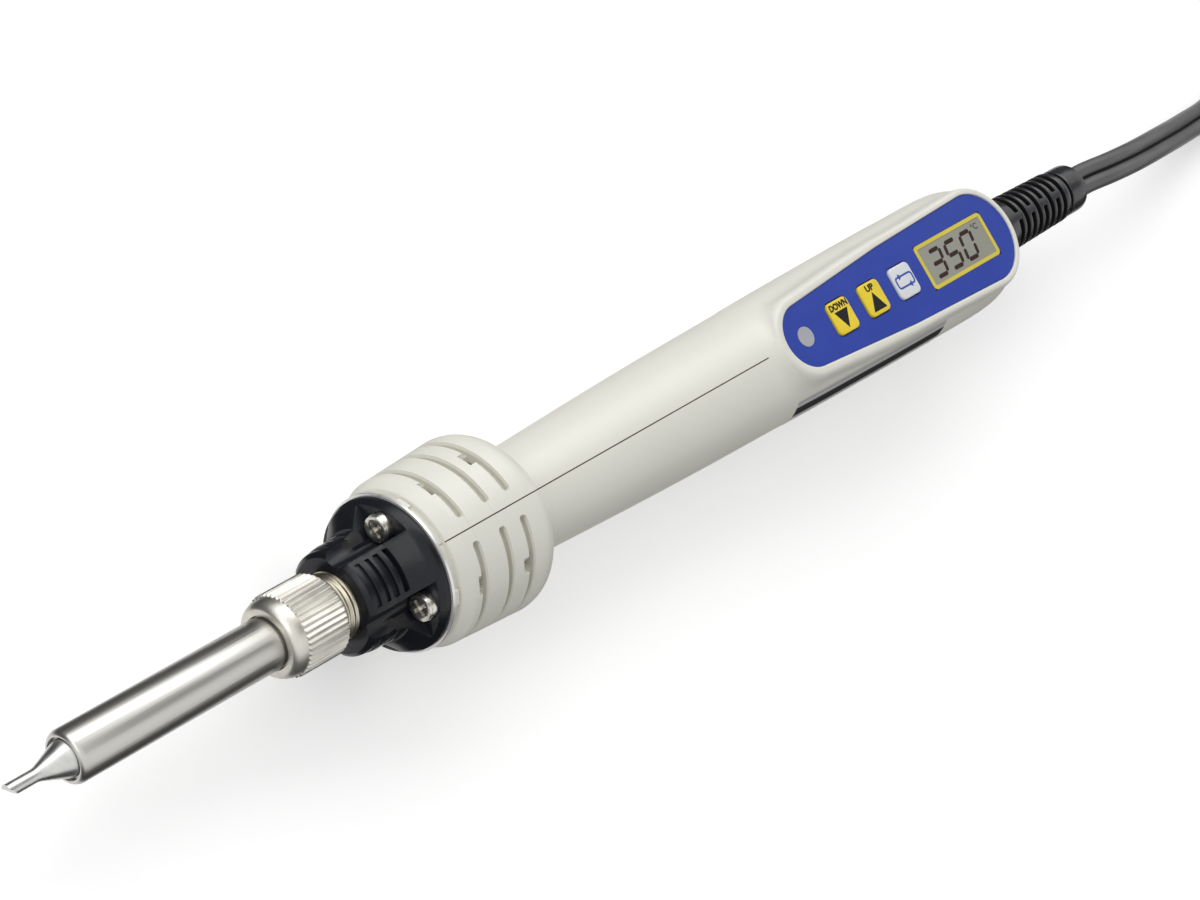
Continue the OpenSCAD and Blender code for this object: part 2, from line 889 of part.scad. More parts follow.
// rubber relief with slots that alternate in direction
module strain_relief() {
    x0 = shell_end - wall_rear;
    color("black")
        place()
            difference() {
                turned([[x0 - 2.2, 0], [x0 - 2.2, 6.6], [x0, 6.6], [x0, relief_hole_r - 0.05],
                        [shell_end, relief_hole_r - 0.05], [shell_end, 5.5], [shell_end + 13.8, 5.1],
                        [shell_end + 25.5, 4.86], [total - 5.1, 4.6], [total - 5, relief_end_r],
                        [total - 0.5, relief_end_r], [total, relief_end_r - 0.4], [total, 0]]);
                twin_bar(x0 - 3, total + 1, core_r + 0.05);
                for (i = [0 : relief_slots - 1])
                    let (x = relief_slot_x + i * relief_pitch)
                        difference() {
                            tube(x - relief_slot_w / 2, x + relief_slot_w / 2, 7, relief_core_r);
                            rotate([90 * (i % 2), 0, 0])
                                block(x - 1, x + 1, -0.8, 0.8, -8, 8);
                        }
                tube(total - 5.8, total - 5.2, 7, relief_end_r - 0.8);
            }
}

// sections of a swept tube: each frame is [position, heading, across]
function unit(v) = v / norm(v);
function swept(frames, section) = [
    for (f = frames)
        let (up = unit(cross(f[1], f[2])), side = cross(up, f[1]))
            for (q = section)
                f[0] + side * q[0] + up * q[1]];

module swept_tube(frames, section) {
    n = len(section);
    last = len(frames) - 1;
    polyhedron(points = swept(frames, section),
               faces = concat(
                   [for (i = [1 : n - 2]) [0, i, i + 1]],
                   [for (i = [1 : n - 2]) [last * n, last * n + i + 1, last * n + i]],
                   [for (k = [0 : last - 1]) for (i = [0 : n - 1])
                       let (j = (i + 1) % n)
                           [k * n + i, (k + 1) * n + i, (k + 1) * n + j]],
                   [for (k = [0 : last - 1]) for (i = [0 : n - 1])
                       let (j = (i + 1) % n)
                           [k * n + i, (k + 1) * n + j, k * n + j]]),
               convexity = 8);
}

// frames along a route of [x, y, z, turn] points, square to X at both ends
function route_frames(route) = [
    for (i = [0 : len(route) - 1])
        let (p = route[i],
             back = route[max(i - 1, 0)],
             next = route[min(i + 1, len(route) - 1)],
             end = i == 0 || i == len(route) - 1,
             heading = end ? [1, 0, 0] : unit([next[0] - back[0], next[1] - back[1], next[2] - back[2]]),
             level = unit([heading[1], -heading[0], 0]),
             rise = cross(level, heading))
            [[p[0], p[1], p[2]], heading, level * cos(p[3]) + rise * sin(p[3])]];

module power_cord() {
    color("black")
        translate([total / 2, 0, rest_z])
            swept_tube(route_frames(lead_route), twin);
}

// hank: base line of one loop, with its folds and its drawn-in waist
function waist(u) = pow(cos(180 * u), 2);
function base_line(s) =
    s < run_share
    ? let (u = s / run_share)
        [(2 * u - 1) * hank_half, waist_r + (fold_r - waist_r) * waist(u)]
    : s < half_share
    ? let (a = 90 - 180 * (s - run_share) / (half_share - run_share))
        [hank_half + fold_r * cos(a), fold_r * sin(a)]
    : -base_line(s - half_share);
function base_step(s) =
    let (h = s >= half_share ? s - half_share : s, u = min(h / run_share, 1))
        hank_step + waist_step * (1 - waist(u));
function base_out(s) =
    let (d = unit(base_line((s + 0.002) % 1) - base_line((s + 0.998) % 1)))
        [-d[1], d[0]];
function smooth(u) = let (v = min(max(u, 0), 1)) v * v * (3 - 2 * v);
function lift(s) =
    let (h = s >= half_share ? s - half_share : s, u = min(h / run_share, 1))
        tie_lift * (1 - waist(u));
function hank_point(t) =
    let (s = t % 1,
         p = base_line(s) + base_out(s) * base_step(s) * abs(t - hank_mid),
         climb = smooth((t - 1.54) / 0.2))
        [p[0], p[1], hank_low + hank_rise * climb + lift(s)];
function hank_heading(t) =
    t <= 0 || t >= hank_turns ? [1, 0, 0]
    : unit(hank_point(min(t + 0.004, hank_turns)) - hank_point(max(t - 0.004, 0)));

hank_path = [for (i = [0 : hank_rings]) hank_point(hank_turns * i / hank_rings)];
hank_line = [for (i = [0 : 2 * hank_rings]) hank_point(hank_turns * i / hank_rings / 2)];
hank_length = [for (i = 0, total_l = 0; i < len(hank_line); i = i + 1,
                    total_l = total_l + (i < len(hank_line) ? norm(hank_line[i] - hank_line[i - 1]) : 0))
                   total_l][len(hank_line) - 1];

// gap between two passes of the cord whose width stands upright
function pass_gap(a, b) =
    let (flat = norm([a[0] - b[0], a[1] - b[1]]) - cord_t, tall = abs(a[2] - b[2]) - cord_w)
        max(flat, tall);
hank_gap = min([for (i = [0 : len(hank_line) - 1])
                for (j = [i + 20 : 1 : len(hank_line) - 1])
                    pass_gap(hank_line[i], hank_line[j])]);
echo(hank_length = hank_length, hank_gap = hank_gap);

module cord_hank() {
    color("black")
        translate([hank_x + hank_half, hank_y, 0])
            swept_tube([for (i = [0 : hank_rings])
                        let (t = hank_turns * i / hank_rings)
                            [hank_path[i], hank_heading(t), [0, 0, 1]]], lozenge);
}

module cord_tie() {
    color("dimgray")
        translate([hank_x + hank_half - tie_w / 2, hank_y, 0])
            difference() {
                translate([0, -tie_half, 0])
                    cube([tie_w, 2 * tie_half, tie_top + tie_t]);
                translate([-1, -tie_half + tie_t, tie_t])
                    cube([tie_w + 2, 2 * (tie_half - tie_t), tie_top - tie_t]);
            }
}

module cord_tail() {
    color("black")
        translate([hank_x + 2 * hank_half, hank_end_y, hank_low + hank_rise])
            swept_tube(route_frames(tail_route), twin);
}

module plug_body() {
    color("black")
        translate([plug_x, plug_y, plug_z]) {
            rod(0, plug_neck + 1, 4.2);
            translate([plug_neck, -plug_w / 2, -plug_t / 2])
                cube([plug_l, plug_w, plug_t]);
        }
}

module plug_blades() {
    color("gold")
        translate([plug_x + plug_neck + plug_l, plug_y, plug_z])
            for (y = [-1, 1])
                translate([0, y * blade_pitch / 2 - blade_t / 2, -blade_w / 2])
                    cube([blade_l, blade_t, blade_w]);
}

solder_tip();
barrel();
cap_nut();
ferrule();
ceramic_heater();
heater_bush();
heater_leads();
lead_sleeve();
nose_flange();
flange_screws();
heat_plate();
handle_left();
handle_right();
handle_screws();
panel_overlay();
lcd_window();
led_lens();
key_down();
key_up();
key_mode();
plunger_down();
plunger_up();
plunger_mode();
tact_switches();
lcd_module();
lcd_strips();
status_led();
control_board();
microcontroller();
triac();
capacitor();
fuse();
label_left();
label_right();
cord_cores();
cord_inner();
cord_clamp();
clamp_screws();
strain_relief();
power_cord();
cord_hank();
cord_tie();
cord_tail();
plug_body();
plug_blades();
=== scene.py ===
import bpy, bmesh
from math import acos, asin, atan2, cos, degrees, dist, hypot, pi, radians, sin, sqrt
from mathutils import Vector, Matrix


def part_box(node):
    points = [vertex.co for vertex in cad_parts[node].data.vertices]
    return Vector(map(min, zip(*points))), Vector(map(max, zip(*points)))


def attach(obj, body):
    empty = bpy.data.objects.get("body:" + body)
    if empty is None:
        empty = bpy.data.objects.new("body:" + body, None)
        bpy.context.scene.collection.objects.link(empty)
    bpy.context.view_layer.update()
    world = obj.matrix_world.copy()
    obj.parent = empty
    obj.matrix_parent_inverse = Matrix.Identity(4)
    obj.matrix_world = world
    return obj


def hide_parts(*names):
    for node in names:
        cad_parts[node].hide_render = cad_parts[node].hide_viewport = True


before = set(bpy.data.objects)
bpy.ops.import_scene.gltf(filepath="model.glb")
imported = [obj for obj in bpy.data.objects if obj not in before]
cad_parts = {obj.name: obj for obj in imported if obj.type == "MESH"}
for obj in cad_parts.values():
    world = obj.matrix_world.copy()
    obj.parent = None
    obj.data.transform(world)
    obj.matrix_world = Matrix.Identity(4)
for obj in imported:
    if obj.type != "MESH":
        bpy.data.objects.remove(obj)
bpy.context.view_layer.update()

MM = 0.001


# Stations along the iron, in millimetres from its working point.
NUT_X, NUT_END = 50.4, 61.4
FERRULE_X, NOSE_X = 57.6, 64.3
SHELL_X, SHELL_END = 77.3, 233.0
TOTAL = 264.6

# The frame's origin along the iron and the height of its axis come from the CAD boxes.
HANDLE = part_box("handle_left")
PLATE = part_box("heat_plate")
ORIGIN_X = HANDLE[0][0] - SHELL_X * MM
AXIS_Z = (PLATE[0][2] + PLATE[1][2]) / 2


def at(x, y, z):
    """A point given in millimetres from the working point and the axis, in the row frame."""
    return Vector((ORIGIN_X + x * MM, y * MM, AXIS_Z + z * MM))


def smooth(u):
    """Soft step from 0 to 1."""
    v = min(max(u, 0), 1)
    return v * v * (3 - 2 * v)


def new_object(name, data):
    """An object in the scene for a mesh, lamp or camera."""
    ob = bpy.data.objects.new(name, data)
    bpy.context.scene.collection.objects.link(ob)
    return ob


def bridge(rings, n, closed=False):
    """Faces between successive rings of n points; closed joins the last ring to the first."""
    faces = []
    for k in range(rings if closed else rings - 1):
        a, b = k * n, (k + 1) % rings * n
        for i in range(n):
            j = (i + 1) % n
            faces.append((a + i, a + j, b + j, b + i))
    return faces


def mesh_object(name, verts, faces, material, angle):
    """Smooth-shaded object with outward faces, sharp where they meet at more than the angle."""
    me = bpy.data.meshes.new(name)
    me.from_pydata([tuple(v) for v in verts], [], faces)
    me.validate()
    me.update()
    bm = bmesh.new()
    bm.from_mesh(me)
    bmesh.ops.recalc_face_normals(bm, faces=bm.faces)
    bm.to_mesh(me)
    bm.free()
    ob = new_object(name, me)
    me.polygons.foreach_set("use_smooth", [True] * len(me.polygons))
    me.set_sharp_from_angle(angle=radians(angle))
    me.materials.append(material)
    return ob


# ---- camera
CAMERA_DOWN, CAMERA_ROLL = radians(47.43), radians(29.64)
CAMERA_PLACE = (-0.3816, 0, 0.4249)
SENSOR, FOCAL = 36, 103.2
SHIFT_X, SHIFT_Y = -0.0014167, 0.0024167


def make_camera():
    """Camera that looks down along the iron and is rolled, as in the photograph."""
    look = Vector((cos(CAMERA_DOWN), 0, -sin(CAMERA_DOWN)))
    top = Vector((sin(CAMERA_DOWN), 0, cos(CAMERA_DOWN)))
    side = Vector((0, -1, 0))
    right = top * cos(CAMERA_ROLL) + side * sin(CAMERA_ROLL)
    up = top * sin(CAMERA_ROLL) - side * cos(CAMERA_ROLL)
    pose = Matrix((right, up, -look)).transposed().to_4x4()
    pose.translation = Vector(CAMERA_PLACE)
    cam = bpy.data.cameras.new("camera")
    cam.sensor_width = SENSOR
    cam.lens = FOCAL
    cam.shift_x = SHIFT_X
    cam.shift_y = SHIFT_Y
    cam.clip_start = 0.01
    cam.clip_end = 20
    ob = new_object("camera", cam)
    ob.matrix_world = pose
    bpy.context.scene.camera = ob


make_camera()


# ---- materials
def put(node, **values):
    """Set inputs of a shader node; a space in an input's name is written as _ here."""
    for key, value in values.items():
        node.inputs[key.replace("_", " ")].default_value = value
    return node


def new_material(name):
    """A node material with its node tree and its main shader."""
    m = bpy.data.materials.new(name)
    m.use_nodes = True
    return m, m.node_tree, m.node_tree.nodes["Principled BSDF"]


def surface(name, color, rough=0.4, metal=0.0, spread=0.04, scale=220.0, bump=0.02, bump_scale=900.0,
            stretch=(1, 1, 1), rough_spread=0.06, coat=0.0, spec=0.5, tint=None):
    """Colour with slight cloudy variation, uneven gloss and a fine bump."""
    m, nt, b = new_material(name)
    n, l = nt.nodes, nt.links
    co = n.new("ShaderNodeTexCoord")
    mp = put(n.new("ShaderNodeMapping"), Scale=stretch)
    l.new(co.outputs["Object"], mp.inputs["Vector"])
    cloud = put(n.new("ShaderNodeTexNoise"), Scale=scale, Detail=4)
    l.new(mp.outputs["Vector"], cloud.inputs["Vector"])
    ramp = n.new("ShaderNodeValToRGB")
    low, high = ramp.color_ramp.elements
    low.position = 0.3
    high.position = 0.7
    low.color = (*(tint or [c * (1 - spread) for c in color]), 1)
    high.color = (*(min(1, c * (1 + spread)) for c in color), 1)
    l.new(cloud.outputs["Fac"], ramp.inputs["Fac"])
    l.new(ramp.outputs["Color"], b.inputs["Base Color"])
    gloss = put(n.new("ShaderNodeMapRange"), To_Min=max(0.02, rough - rough_spread),
                To_Max=min(1, rough + rough_spread))
    l.new(cloud.outputs["Fac"], gloss.inputs["Value"])
    l.new(gloss.outputs["Result"], b.inputs["Roughness"])
    grain = put(n.new("ShaderNodeTexNoise"), Scale=bump_scale, Detail=3)
    l.new(mp.outputs["Vector"], grain.inputs["Vector"])
    bp = put(n.new("ShaderNodeBump"), Strength=bump, Distance=0.0002)
    l.new(grain.outputs["Fac"], bp.inputs["Height"])
    l.new(bp.outputs["Normal"], b.inputs["Normal"])
    put(b, Metallic=metal, Coat_Weight=coat, Coat_Roughness=0.1, Specular_IOR_Level=spec)
    return m


MAT = dict(
    handle=surface("off_white_moulding", (0.80, 0.79, 0.715), rough=0.38, spread=0.012, scale=60, bump=0.05,
                   bump_scale=1800, rough_spread=0.04),
    seam=surface("seam_shadow", (0.10, 0.065, 0.04), rough=0.8, spread=0.1),
    # Painted shade: a darker handle colour that stands in for the shade in the collar's grooves.
    recess=surface("painted_groove_shade", (0.62, 0.605, 0.53), rough=0.5, spread=0.02, scale=60),
    # Painted shade: a dark colour that stands in for the shadow inside the collar's vents.
    vent=surface("vent_dark", (0.16, 0.13, 0.10), rough=0.8, spread=0.1),
    barrel=surface("satin_steel", (0.60, 0.592, 0.565), rough=0.34, metal=1, spread=0.05, scale=160,
                   stretch=(0.02, 1, 1), bump=0.10, bump_scale=2600, rough_spread=0.05,
                   tint=(0.52, 0.507, 0.475)),
    tip=surface("tinned_plating", (0.62, 0.62, 0.60), rough=0.34, metal=1, spread=0.10, scale=420,
                bump=0.10, bump_scale=900, rough_spread=0.10),
    nut=surface("nickel_knurl", (0.66, 0.645, 0.59), rough=0.40, metal=1, spread=0.06, scale=300, bump=0.12,
                bump_scale=1500, tint=(0.56, 0.54, 0.485)),
    ferrule=surface("washed_brass", (0.60, 0.565, 0.47), rough=0.32, metal=1, spread=0.10, scale=300,
                    bump=0.05, tint=(0.48, 0.44, 0.34)),
    ceramic=surface("fired_ceramic", (0.80, 0.79, 0.75), rough=0.6, spread=0.05),
    lead=surface("lead_insulation", (0.62, 0.55, 0.44), rough=0.6, spread=0.08),
    nose=surface("black_heatproof", (0.010, 0.011, 0.015), rough=0.26, spread=0.2, scale=150, bump=0.05,
                 bump_scale=1400, rough_spread=0.08, spec=0.28),
    screw=surface("plated_screw", (0.70, 0.68, 0.62), rough=0.27, metal=1, spread=0.10, scale=500,
                  bump=0.05),
    plate=surface("bright_plate", (0.84, 0.84, 0.82), rough=0.3, metal=0.6, spread=0.03),
    film=surface("blue_film", (0.016, 0.050, 0.385), rough=0.34, spread=0.05, scale=90, bump=0.03,
                 bump_scale=2400, coat=0.15),
    key_yellow=surface("yellow_key", (0.86, 0.65, 0.03), rough=0.42, spread=0.05, scale=200, bump=0.05),
    key_white=surface("white_key", (0.74, 0.77, 0.80), rough=0.42, spread=0.03, scale=200, bump=0.05),
    key_ink=surface("key_ink", (0.006, 0.006, 0.008), rough=0.6, spread=0.2, spec=0.25),
    blue_ink=surface("blue_ink", (0.03, 0.07, 0.40), rough=0.45, spread=0.1),
    frame=surface("yellow_print", (0.72, 0.59, 0.06), rough=0.35, spread=0.05, scale=200, coat=0.2),
    lcd=surface("lcd_face", (0.33, 0.33, 0.285), rough=0.22, spread=0.06, scale=60, bump=0.01, coat=0.3),
    digit=surface("lcd_segment", (0.034, 0.015, 0.012), rough=0.35, spread=0.15, spec=0.25),
    lens=surface("lamp_lens", (0.42, 0.43, 0.47), rough=0.35, spread=0.05, scale=300, bump=0.03),
    black=surface("black_moulding", (0.02, 0.02, 0.02), rough=0.5, spread=0.15),
    metal=surface("switch_cover", (0.55, 0.55, 0.55), rough=0.35, metal=1, spread=0.06),
    module=surface("display_module", (0.30, 0.31, 0.28), rough=0.3, spread=0.05),
    red=surface("red_lamp", (0.50, 0.05, 0.04), rough=0.3, spread=0.1),
    board=surface("solder_mask", (0.02, 0.14, 0.05), rough=0.35, spread=0.15, scale=500),
    amber=surface("dipped_film", (0.50, 0.28, 0.05), rough=0.35, spread=0.1),
    brown=surface("core_brown", (0.16, 0.07, 0.035), rough=0.5, spread=0.1),
    rubber=surface("black_rubber", (0.024, 0.025, 0.028), rough=0.25, spread=0.15, scale=200, bump=0.10,
                   bump_scale=1500, rough_spread=0.06, spec=0.6),
    # Painted shade: near-black colour for the rubber core inside the relief's slots.
    slot=surface("painted_slot_shade", (0.005, 0.005, 0.006), rough=0.6, spread=0.2, spec=0.2),
    cord=surface("grey_sheath", (0.095, 0.095, 0.097), rough=0.40, spread=0.12, scale=140, bump=0.10,
                 bump_scale=1500, rough_spread=0.07),
    # Painted shade: near-black colour for the notch between the cord's two cores.
    groove=surface("painted_cord_groove_shade", (0.006, 0.006, 0.006), rough=0.7, spread=0.1),
    tie=surface("tie_black", (0.02, 0.02, 0.02), rough=0.45, spread=0.1),
    plug=surface("plug_black", (0.02, 0.02, 0.02), rough=0.42, spread=0.15, bump=0.15, bump_scale=1200),
    brass=surface("blade_brass", (0.66, 0.50, 0.24), rough=0.28, metal=1, spread=0.08,
                  tint=(0.55, 0.40, 0.18)),
)


# Heights over the axis: the range that is read, the dark band, and the thin line above it.
LABEL_LOW, LABEL_HIGH = -3, 7
DARK_LOW, DARK_HIGH = 2.95, 5.15
LINE_LOW, LINE_HIGH, LINE_LEVEL = 5.95, 6.1, 0.35


def label_material():
    """Foil label: pale, with a dark band and a thin line above it, set by the height over the axis."""
    m = surface("side_label", (0.60, 0.60, 0.59), rough=0.3, spread=0.04, scale=120, coat=0.2)
    n, l = m.node_tree.nodes, m.node_tree.links
    b = n["Principled BSDF"]
    cloud = b.inputs["Base Color"].links[0].from_node
    co = n.new("ShaderNodeTexCoord")
    sep = n.new("ShaderNodeSeparateXYZ")
    l.new(co.outputs["Object"], sep.inputs["Vector"])
    height = put(n.new("ShaderNodeMapRange"), From_Min=AXIS_Z + LABEL_LOW * MM,
                 From_Max=AXIS_Z + LABEL_HIGH * MM)
    l.new(sep.outputs["Z"], height.inputs["Value"])

    def place(z):
        return (z - LABEL_LOW) / (LABEL_HIGH - LABEL_LOW)

    bands = n.new("ShaderNodeValToRGB")
    bands.color_ramp.interpolation = "CONSTANT"
    pale, dark = bands.color_ramp.elements
    dark.position = place(DARK_LOW)
    pale.color = (1, 1, 1, 1)
    dark.color = (0, 0, 0, 1)
    for z, level in ((DARK_HIGH, 1.0), (LINE_LOW, LINE_LEVEL), (LINE_HIGH, 1.0)):
        bands.color_ramp.elements.new(place(z)).color = (level, level, level, 1)
    l.new(height.outputs["Result"], bands.inputs["Fac"])
    mix = n.new("ShaderNodeMix")
    mix.data_type = "RGBA"
    put(mix, A=(0.035, 0.034, 0.036, 1))
    l.new(bands.outputs["Color"], mix.inputs["Factor"])
    l.new(cloud.outputs["Color"], mix.inputs["B"])
    l.new(mix.outputs["Result"], b.inputs["Base Color"])
    return m


MAT["label"] = label_material()

# The CAD nodes that each material dresses.
NODES_OF = dict(
    tip="solder_tip", barrel="barrel", nut="cap_nut", ferrule="ferrule", nose="nose_flange",
    plate="heat_plate", ceramic="ceramic_heater heater_bush lead_sleeve fuse", lead="heater_leads",
    screw="flange_screws handle_screws clamp_screws", handle="handle_left handle_right",
    film="panel_overlay", lcd="lcd_window", lens="led_lens", label="label_left label_right",
    key_yellow="key_down key_up", key_white="key_mode", metal="tact_switches", module="lcd_module",
    black="plunger_down plunger_up plunger_mode lcd_strips microcontroller triac cord_clamp",
    red="status_led", board="control_board", amber="capacitor", brown="cord_cores",
    cord="cord_inner power_cord cord_hank cord_tail", rubber="strain_relief", tie="cord_tie",
    plug="plug_body", brass="plug_blades")


def rounded_rect(l, w, r):
    """Outline of a rectangle with round corners, about its middle."""
    n = 8
    pts = []
    for cx, cy, a0 in ((1, 1, 0), (-1, 1, 90), (-1, -1, 180), (1, -1, 270)):
        for i in range(n + 1):
            a = radians(a0 + 90 * i / n)
            pts.append((cx * (l / 2 - r) + r * cos(a), cy * (w / 2 - r) + r * sin(a)))
    return pts


# The nodes that get soft edges: their body, their record slot, their material and the width of the edge.
SOFT = dict(nose_flange=("iron", "nose_black", "nose", 0.14),
            flange_screws=("iron", "screw_steel", "screw", 0.05),
            barrel=("barrel_body", "barrel_steel", "barrel", 0.22),
            plug_blades=("iron", "blade_brass", "brass", 0.3))
SHARP_EDGE = radians(32)


def softened(node):
    """A copy of a CAD piece with its sharp edges rounded, worn in its place."""
    body, slot, material, edge = SOFT[node]
    bm = bmesh.new()
    bm.from_mesh(bpy.data.objects[node].data)
    bmesh.ops.remove_doubles(bm, verts=bm.verts, dist=0.002 * MM)
    bmesh.ops.dissolve_limit(bm, angle_limit=radians(1.0), verts=bm.verts, edges=bm.edges)
    sharp = [e for e in bm.edges if len(e.link_faces) == 2 and e.calc_face_angle(0) > SHARP_EDGE]
    bmesh.ops.bevel(bm, geom=sharp, offset=edge * MM, offset_type="OFFSET", segments=2, profile=0.5,
                    affect="EDGES", clamp_overlap=True)
    me = bpy.data.meshes.new(node + "_soft")
    bm.to_mesh(me)
    bm.free()
    ob = new_object(node + "_soft", me)
    me.polygons.foreach_set("use_smooth", [True] * len(me.polygons))
    me.set_sharp_from_angle(angle=radians(40))
    me.materials.clear()
    me.materials.append(MAT[material])
    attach(ob, body)
    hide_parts(node)
    return ob


def dress_nodes():
    """Give each CAD node its material."""
    for key, nodes in NODES_OF.items():
        for node in nodes.split():
            ob = bpy.data.objects[node]
            if not ob.material_slots:
                ob.data.materials.append(MAT[key])
            for s in ob.material_slots:
                s.material = MAT[key]


dress_nodes()
for soft_node in ("nose_flange", "flange_screws", "barrel"):
    softened(soft_node)


# ---- cord
# The cord's route: forward, across, up and the turn of its width, from the relief's end.
LEAD = [[0, 0, 0, 0], [6, 0, 0, 0], [14, -0.6, 0, 0], [23, -1, -0.8, 0], [32, -1.1, -2.8, 0],
        [40, -1.1, -5.1, 0], [48, -1.1, -7.6, 0], [56, -1, -9.7, 4], [64, -0.8, -11.1, 14],
        [72, 0.2, -11.8, 30], [80, 2.9, -12, 50], [88, 6.4, -12, 68], [96, 10, -12, 82],
        [104, 12.7, -12, 90], [109, 13.6, -12, 90], [112, 13.74, -12, 90]]
# The same from the end of the hank to the plug.
TAIL = [[0, 0, 0, 90], [5, -0.5, 0, 90], [10, -1.9, -0.5, 80], [15, -3.8, -1.4, 56],
        [20, -5.9, -2.2, 28], [24, -7.2, -2.8, 10], [28, -8, -3, 0], [32, -8.2, -3, 0]]
EXIT_X, EXIT_Z = 132.3, 15
CORE_R = 1.5
# The hank's innermost line: half the distance of its end rounds, their radius and half its waist.
HALF, FOLD, WAIST = 36, 18, 10.5
HANK_X, HANK_Y = EXIT_X + LEAD[-1][0] + HALF, -10
TURNS, RINGS = 3.28, 152
# Share of a turn along one side, and the turn at which the windings lie innermost.
RUN, MID = 0.28, 1.64
# Step between windings and what the waist adds to it; then the lowest height, the upper layer's rise,
# the waist's lift, and the turn at which the cord climbs.
STEP, WAIST_STEP = 3.5, 1.1
LOW, RISE, LIFT = 3, 6.6, 1.3
CLIMB_FROM, CLIMB = 1.54, 0.2


def twin_section():
    """Two round cores side by side with a narrow groove between them."""
    gap, steps, notch = 38, 16, 0.42
    sweep = 360 - 2 * gap
    pts = []
    for side, start in ((1, gap - 180), (-1, gap)):
        for i in range(steps + 1):
            a = radians(start + sweep * i / steps)
            pts.append((side * CORE_R + CORE_R * cos(a), CORE_R * sin(a)))
        pts.append((0.0, side * notch))
    return pts


def hank_waist(u):
    """1 at the ends of a side and 0 at its middle, the waist."""
    return cos(pi * u) ** 2


def hank_base(s):
    """Innermost line of the hank, seen from above, for s from 0 to 1 round it."""
    if s < RUN:
        u = s / RUN
        return Vector(((2 * u - 1) * HALF, WAIST + (FOLD - WAIST) * hank_waist(u)))
    if s < 0.5:
        a = radians(90 - 180 * (s - RUN) / (0.5 - RUN))
        return Vector((HALF + FOLD * cos(a), FOLD * sin(a)))
    return -hank_base(s - 0.5)


def hank_point(t):
    """Middle of the cord after t turns of the hank."""
    s = t % 1
    h = s - 0.5 if s >= 0.5 else s
    u = min(h / RUN, 1)
    d = (hank_base((s + 0.002) % 1) - hank_base((s + 0.998) % 1)).normalized()
    waist = 1 - hank_waist(u)
    p = hank_base(s) + Vector((-d.y, d.x)) * (STEP + WAIST_STEP * waist) * abs(t - MID)
    return Vector((HANK_X + p.x, HANK_Y + p.y, LOW + RISE * smooth((t - CLIMB_FROM) / CLIMB) + LIFT * waist))


def spline(points, n):
    """Smooth line through the points, n steps to a stretch, with the turn of the width alongside."""
    out = []
    for i in range(len(points) - 1):
        p0, p1 = points[max(i - 1, 0)], points[i]
        p2, p3 = points[i + 1], points[min(i + 2, len(points) - 1)]
        for k in range(n):
            t = k / n
            out.append([0.5 * (2 * b + (c - a) * t + (2 * a - 5 * b + 4 * c - d) * t * t
                               + (3 * b - a - 3 * c + d) * t ** 3) for a, b, c, d in zip(p0, p1, p2, p3)])
    out.append(list(points[-1]))
    return out


def make_tie():
    """Flat tie drawn round the windings where the hank is narrowest."""
    low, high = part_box("cord_tie")
    width = (high[0] - low[0]) / MM
    gap, thick, edge, steps = 0.35, 0.9, 0.28, 96
    near = CORE_R + gap
    far = near + thick
    rim = [(0, near + edge), (edge, near), (width - edge, near), (width, near + edge),
           (width, far - edge), (width - edge, far), (edge, far), (0, far - edge)]
    line = [hank_point(TURNS * i / RINGS) for i in range(1, RINGS)]
    waist = [p for p in line if abs(p.x - HANK_X) < width / 2 + 1]
    cores = [(p.y, p.z + side) for p in waist for side in (-CORE_R, CORE_R)]
    verts = []
    for i in range(steps):
        a = 2 * pi * i / steps
        c, s = cos(a), sin(a)
        y, z = max(cores, key=lambda core: core[0] * c + core[1] * s)
        for x, r in rim:
            verts.append((low[0] + x * MM, (y + r * c) * MM, max((z + r * s) * MM, 0)))
    ob = mesh_object("cord_tie_band", verts, bridge(steps, len(rim), closed=True), MAT["tie"], angle=50)
    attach(ob, "iron")
    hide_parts("cord_tie")
    return ob


def plug_sections():
    """Distance from the neck, half width, half height and corner radius of the plug's sections."""
    rows = [(0.0, 3.5, 3.5, 3.4), (0.3, 3.9, 3.9, 3.8)]
    for i in range(3):
        x = 0.8 + 2.1 * i
        rows += [(x, 4.2, 4.2, 4.1), (x + 0.9, 4.2, 4.2, 4.1), (x + 1.1, 3.7, 3.7, 3.6),
                 (x + 1.8, 3.7, 3.7, 3.6)]
    rows += [(7.1, 4.3, 4.3, 4.1), (7.3, 5.4, 4.9, 3.9), (8.0, 7.2, 5.6, 3.6), (9.2, 8.6, 6.1, 3.2),
             (10.8, 9.5, 6.4, 2.8), (12.6, 9.85, 6.5, 2.5)]
    for i in range(5):
        x = 13.6 + 1.9 * i
        rows += [(x, 9.85, 6.5, 2.4), (x + 0.3, 9.35, 6.1, 2.2), (x + 0.9, 9.35, 6.1, 2.2),
                 (x + 1.2, 9.85, 6.5, 2.4)]
    return rows + [(24.5, 10, 6.5, 2.2), (28.3, 10, 6.5, 2.2), (28.75, 9.85, 6.35, 2.1), (29, 9.4, 5.9, 1.8)]


def make_plug():
    """Moulded plug: ribbed neck, rounded shoulders, ribbed grip and a rounded face."""
    low, high = (Vector(p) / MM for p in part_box("plug_body"))
    mid = (low + high) / 2
    sections = plug_sections()
    verts = []
    for x, hw, ht, r in sections:
        for py, pz in rounded_rect(2 * hw, 2 * ht, min(r, ht - 0.05)):
            verts.append(Vector((low.x + x, mid.y + py, mid.z + pz)) * MM)
    n = len(verts) // len(sections)
    faces = bridge(len(sections), n)
    faces += [tuple(range(n)), tuple((len(sections) - 1) * n + i for i in range(n))]
    ob = mesh_object("moulded_plug", verts, faces, MAT["plug"], angle=45)
    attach(ob, "iron")
    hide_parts("plug_body")
    return ob


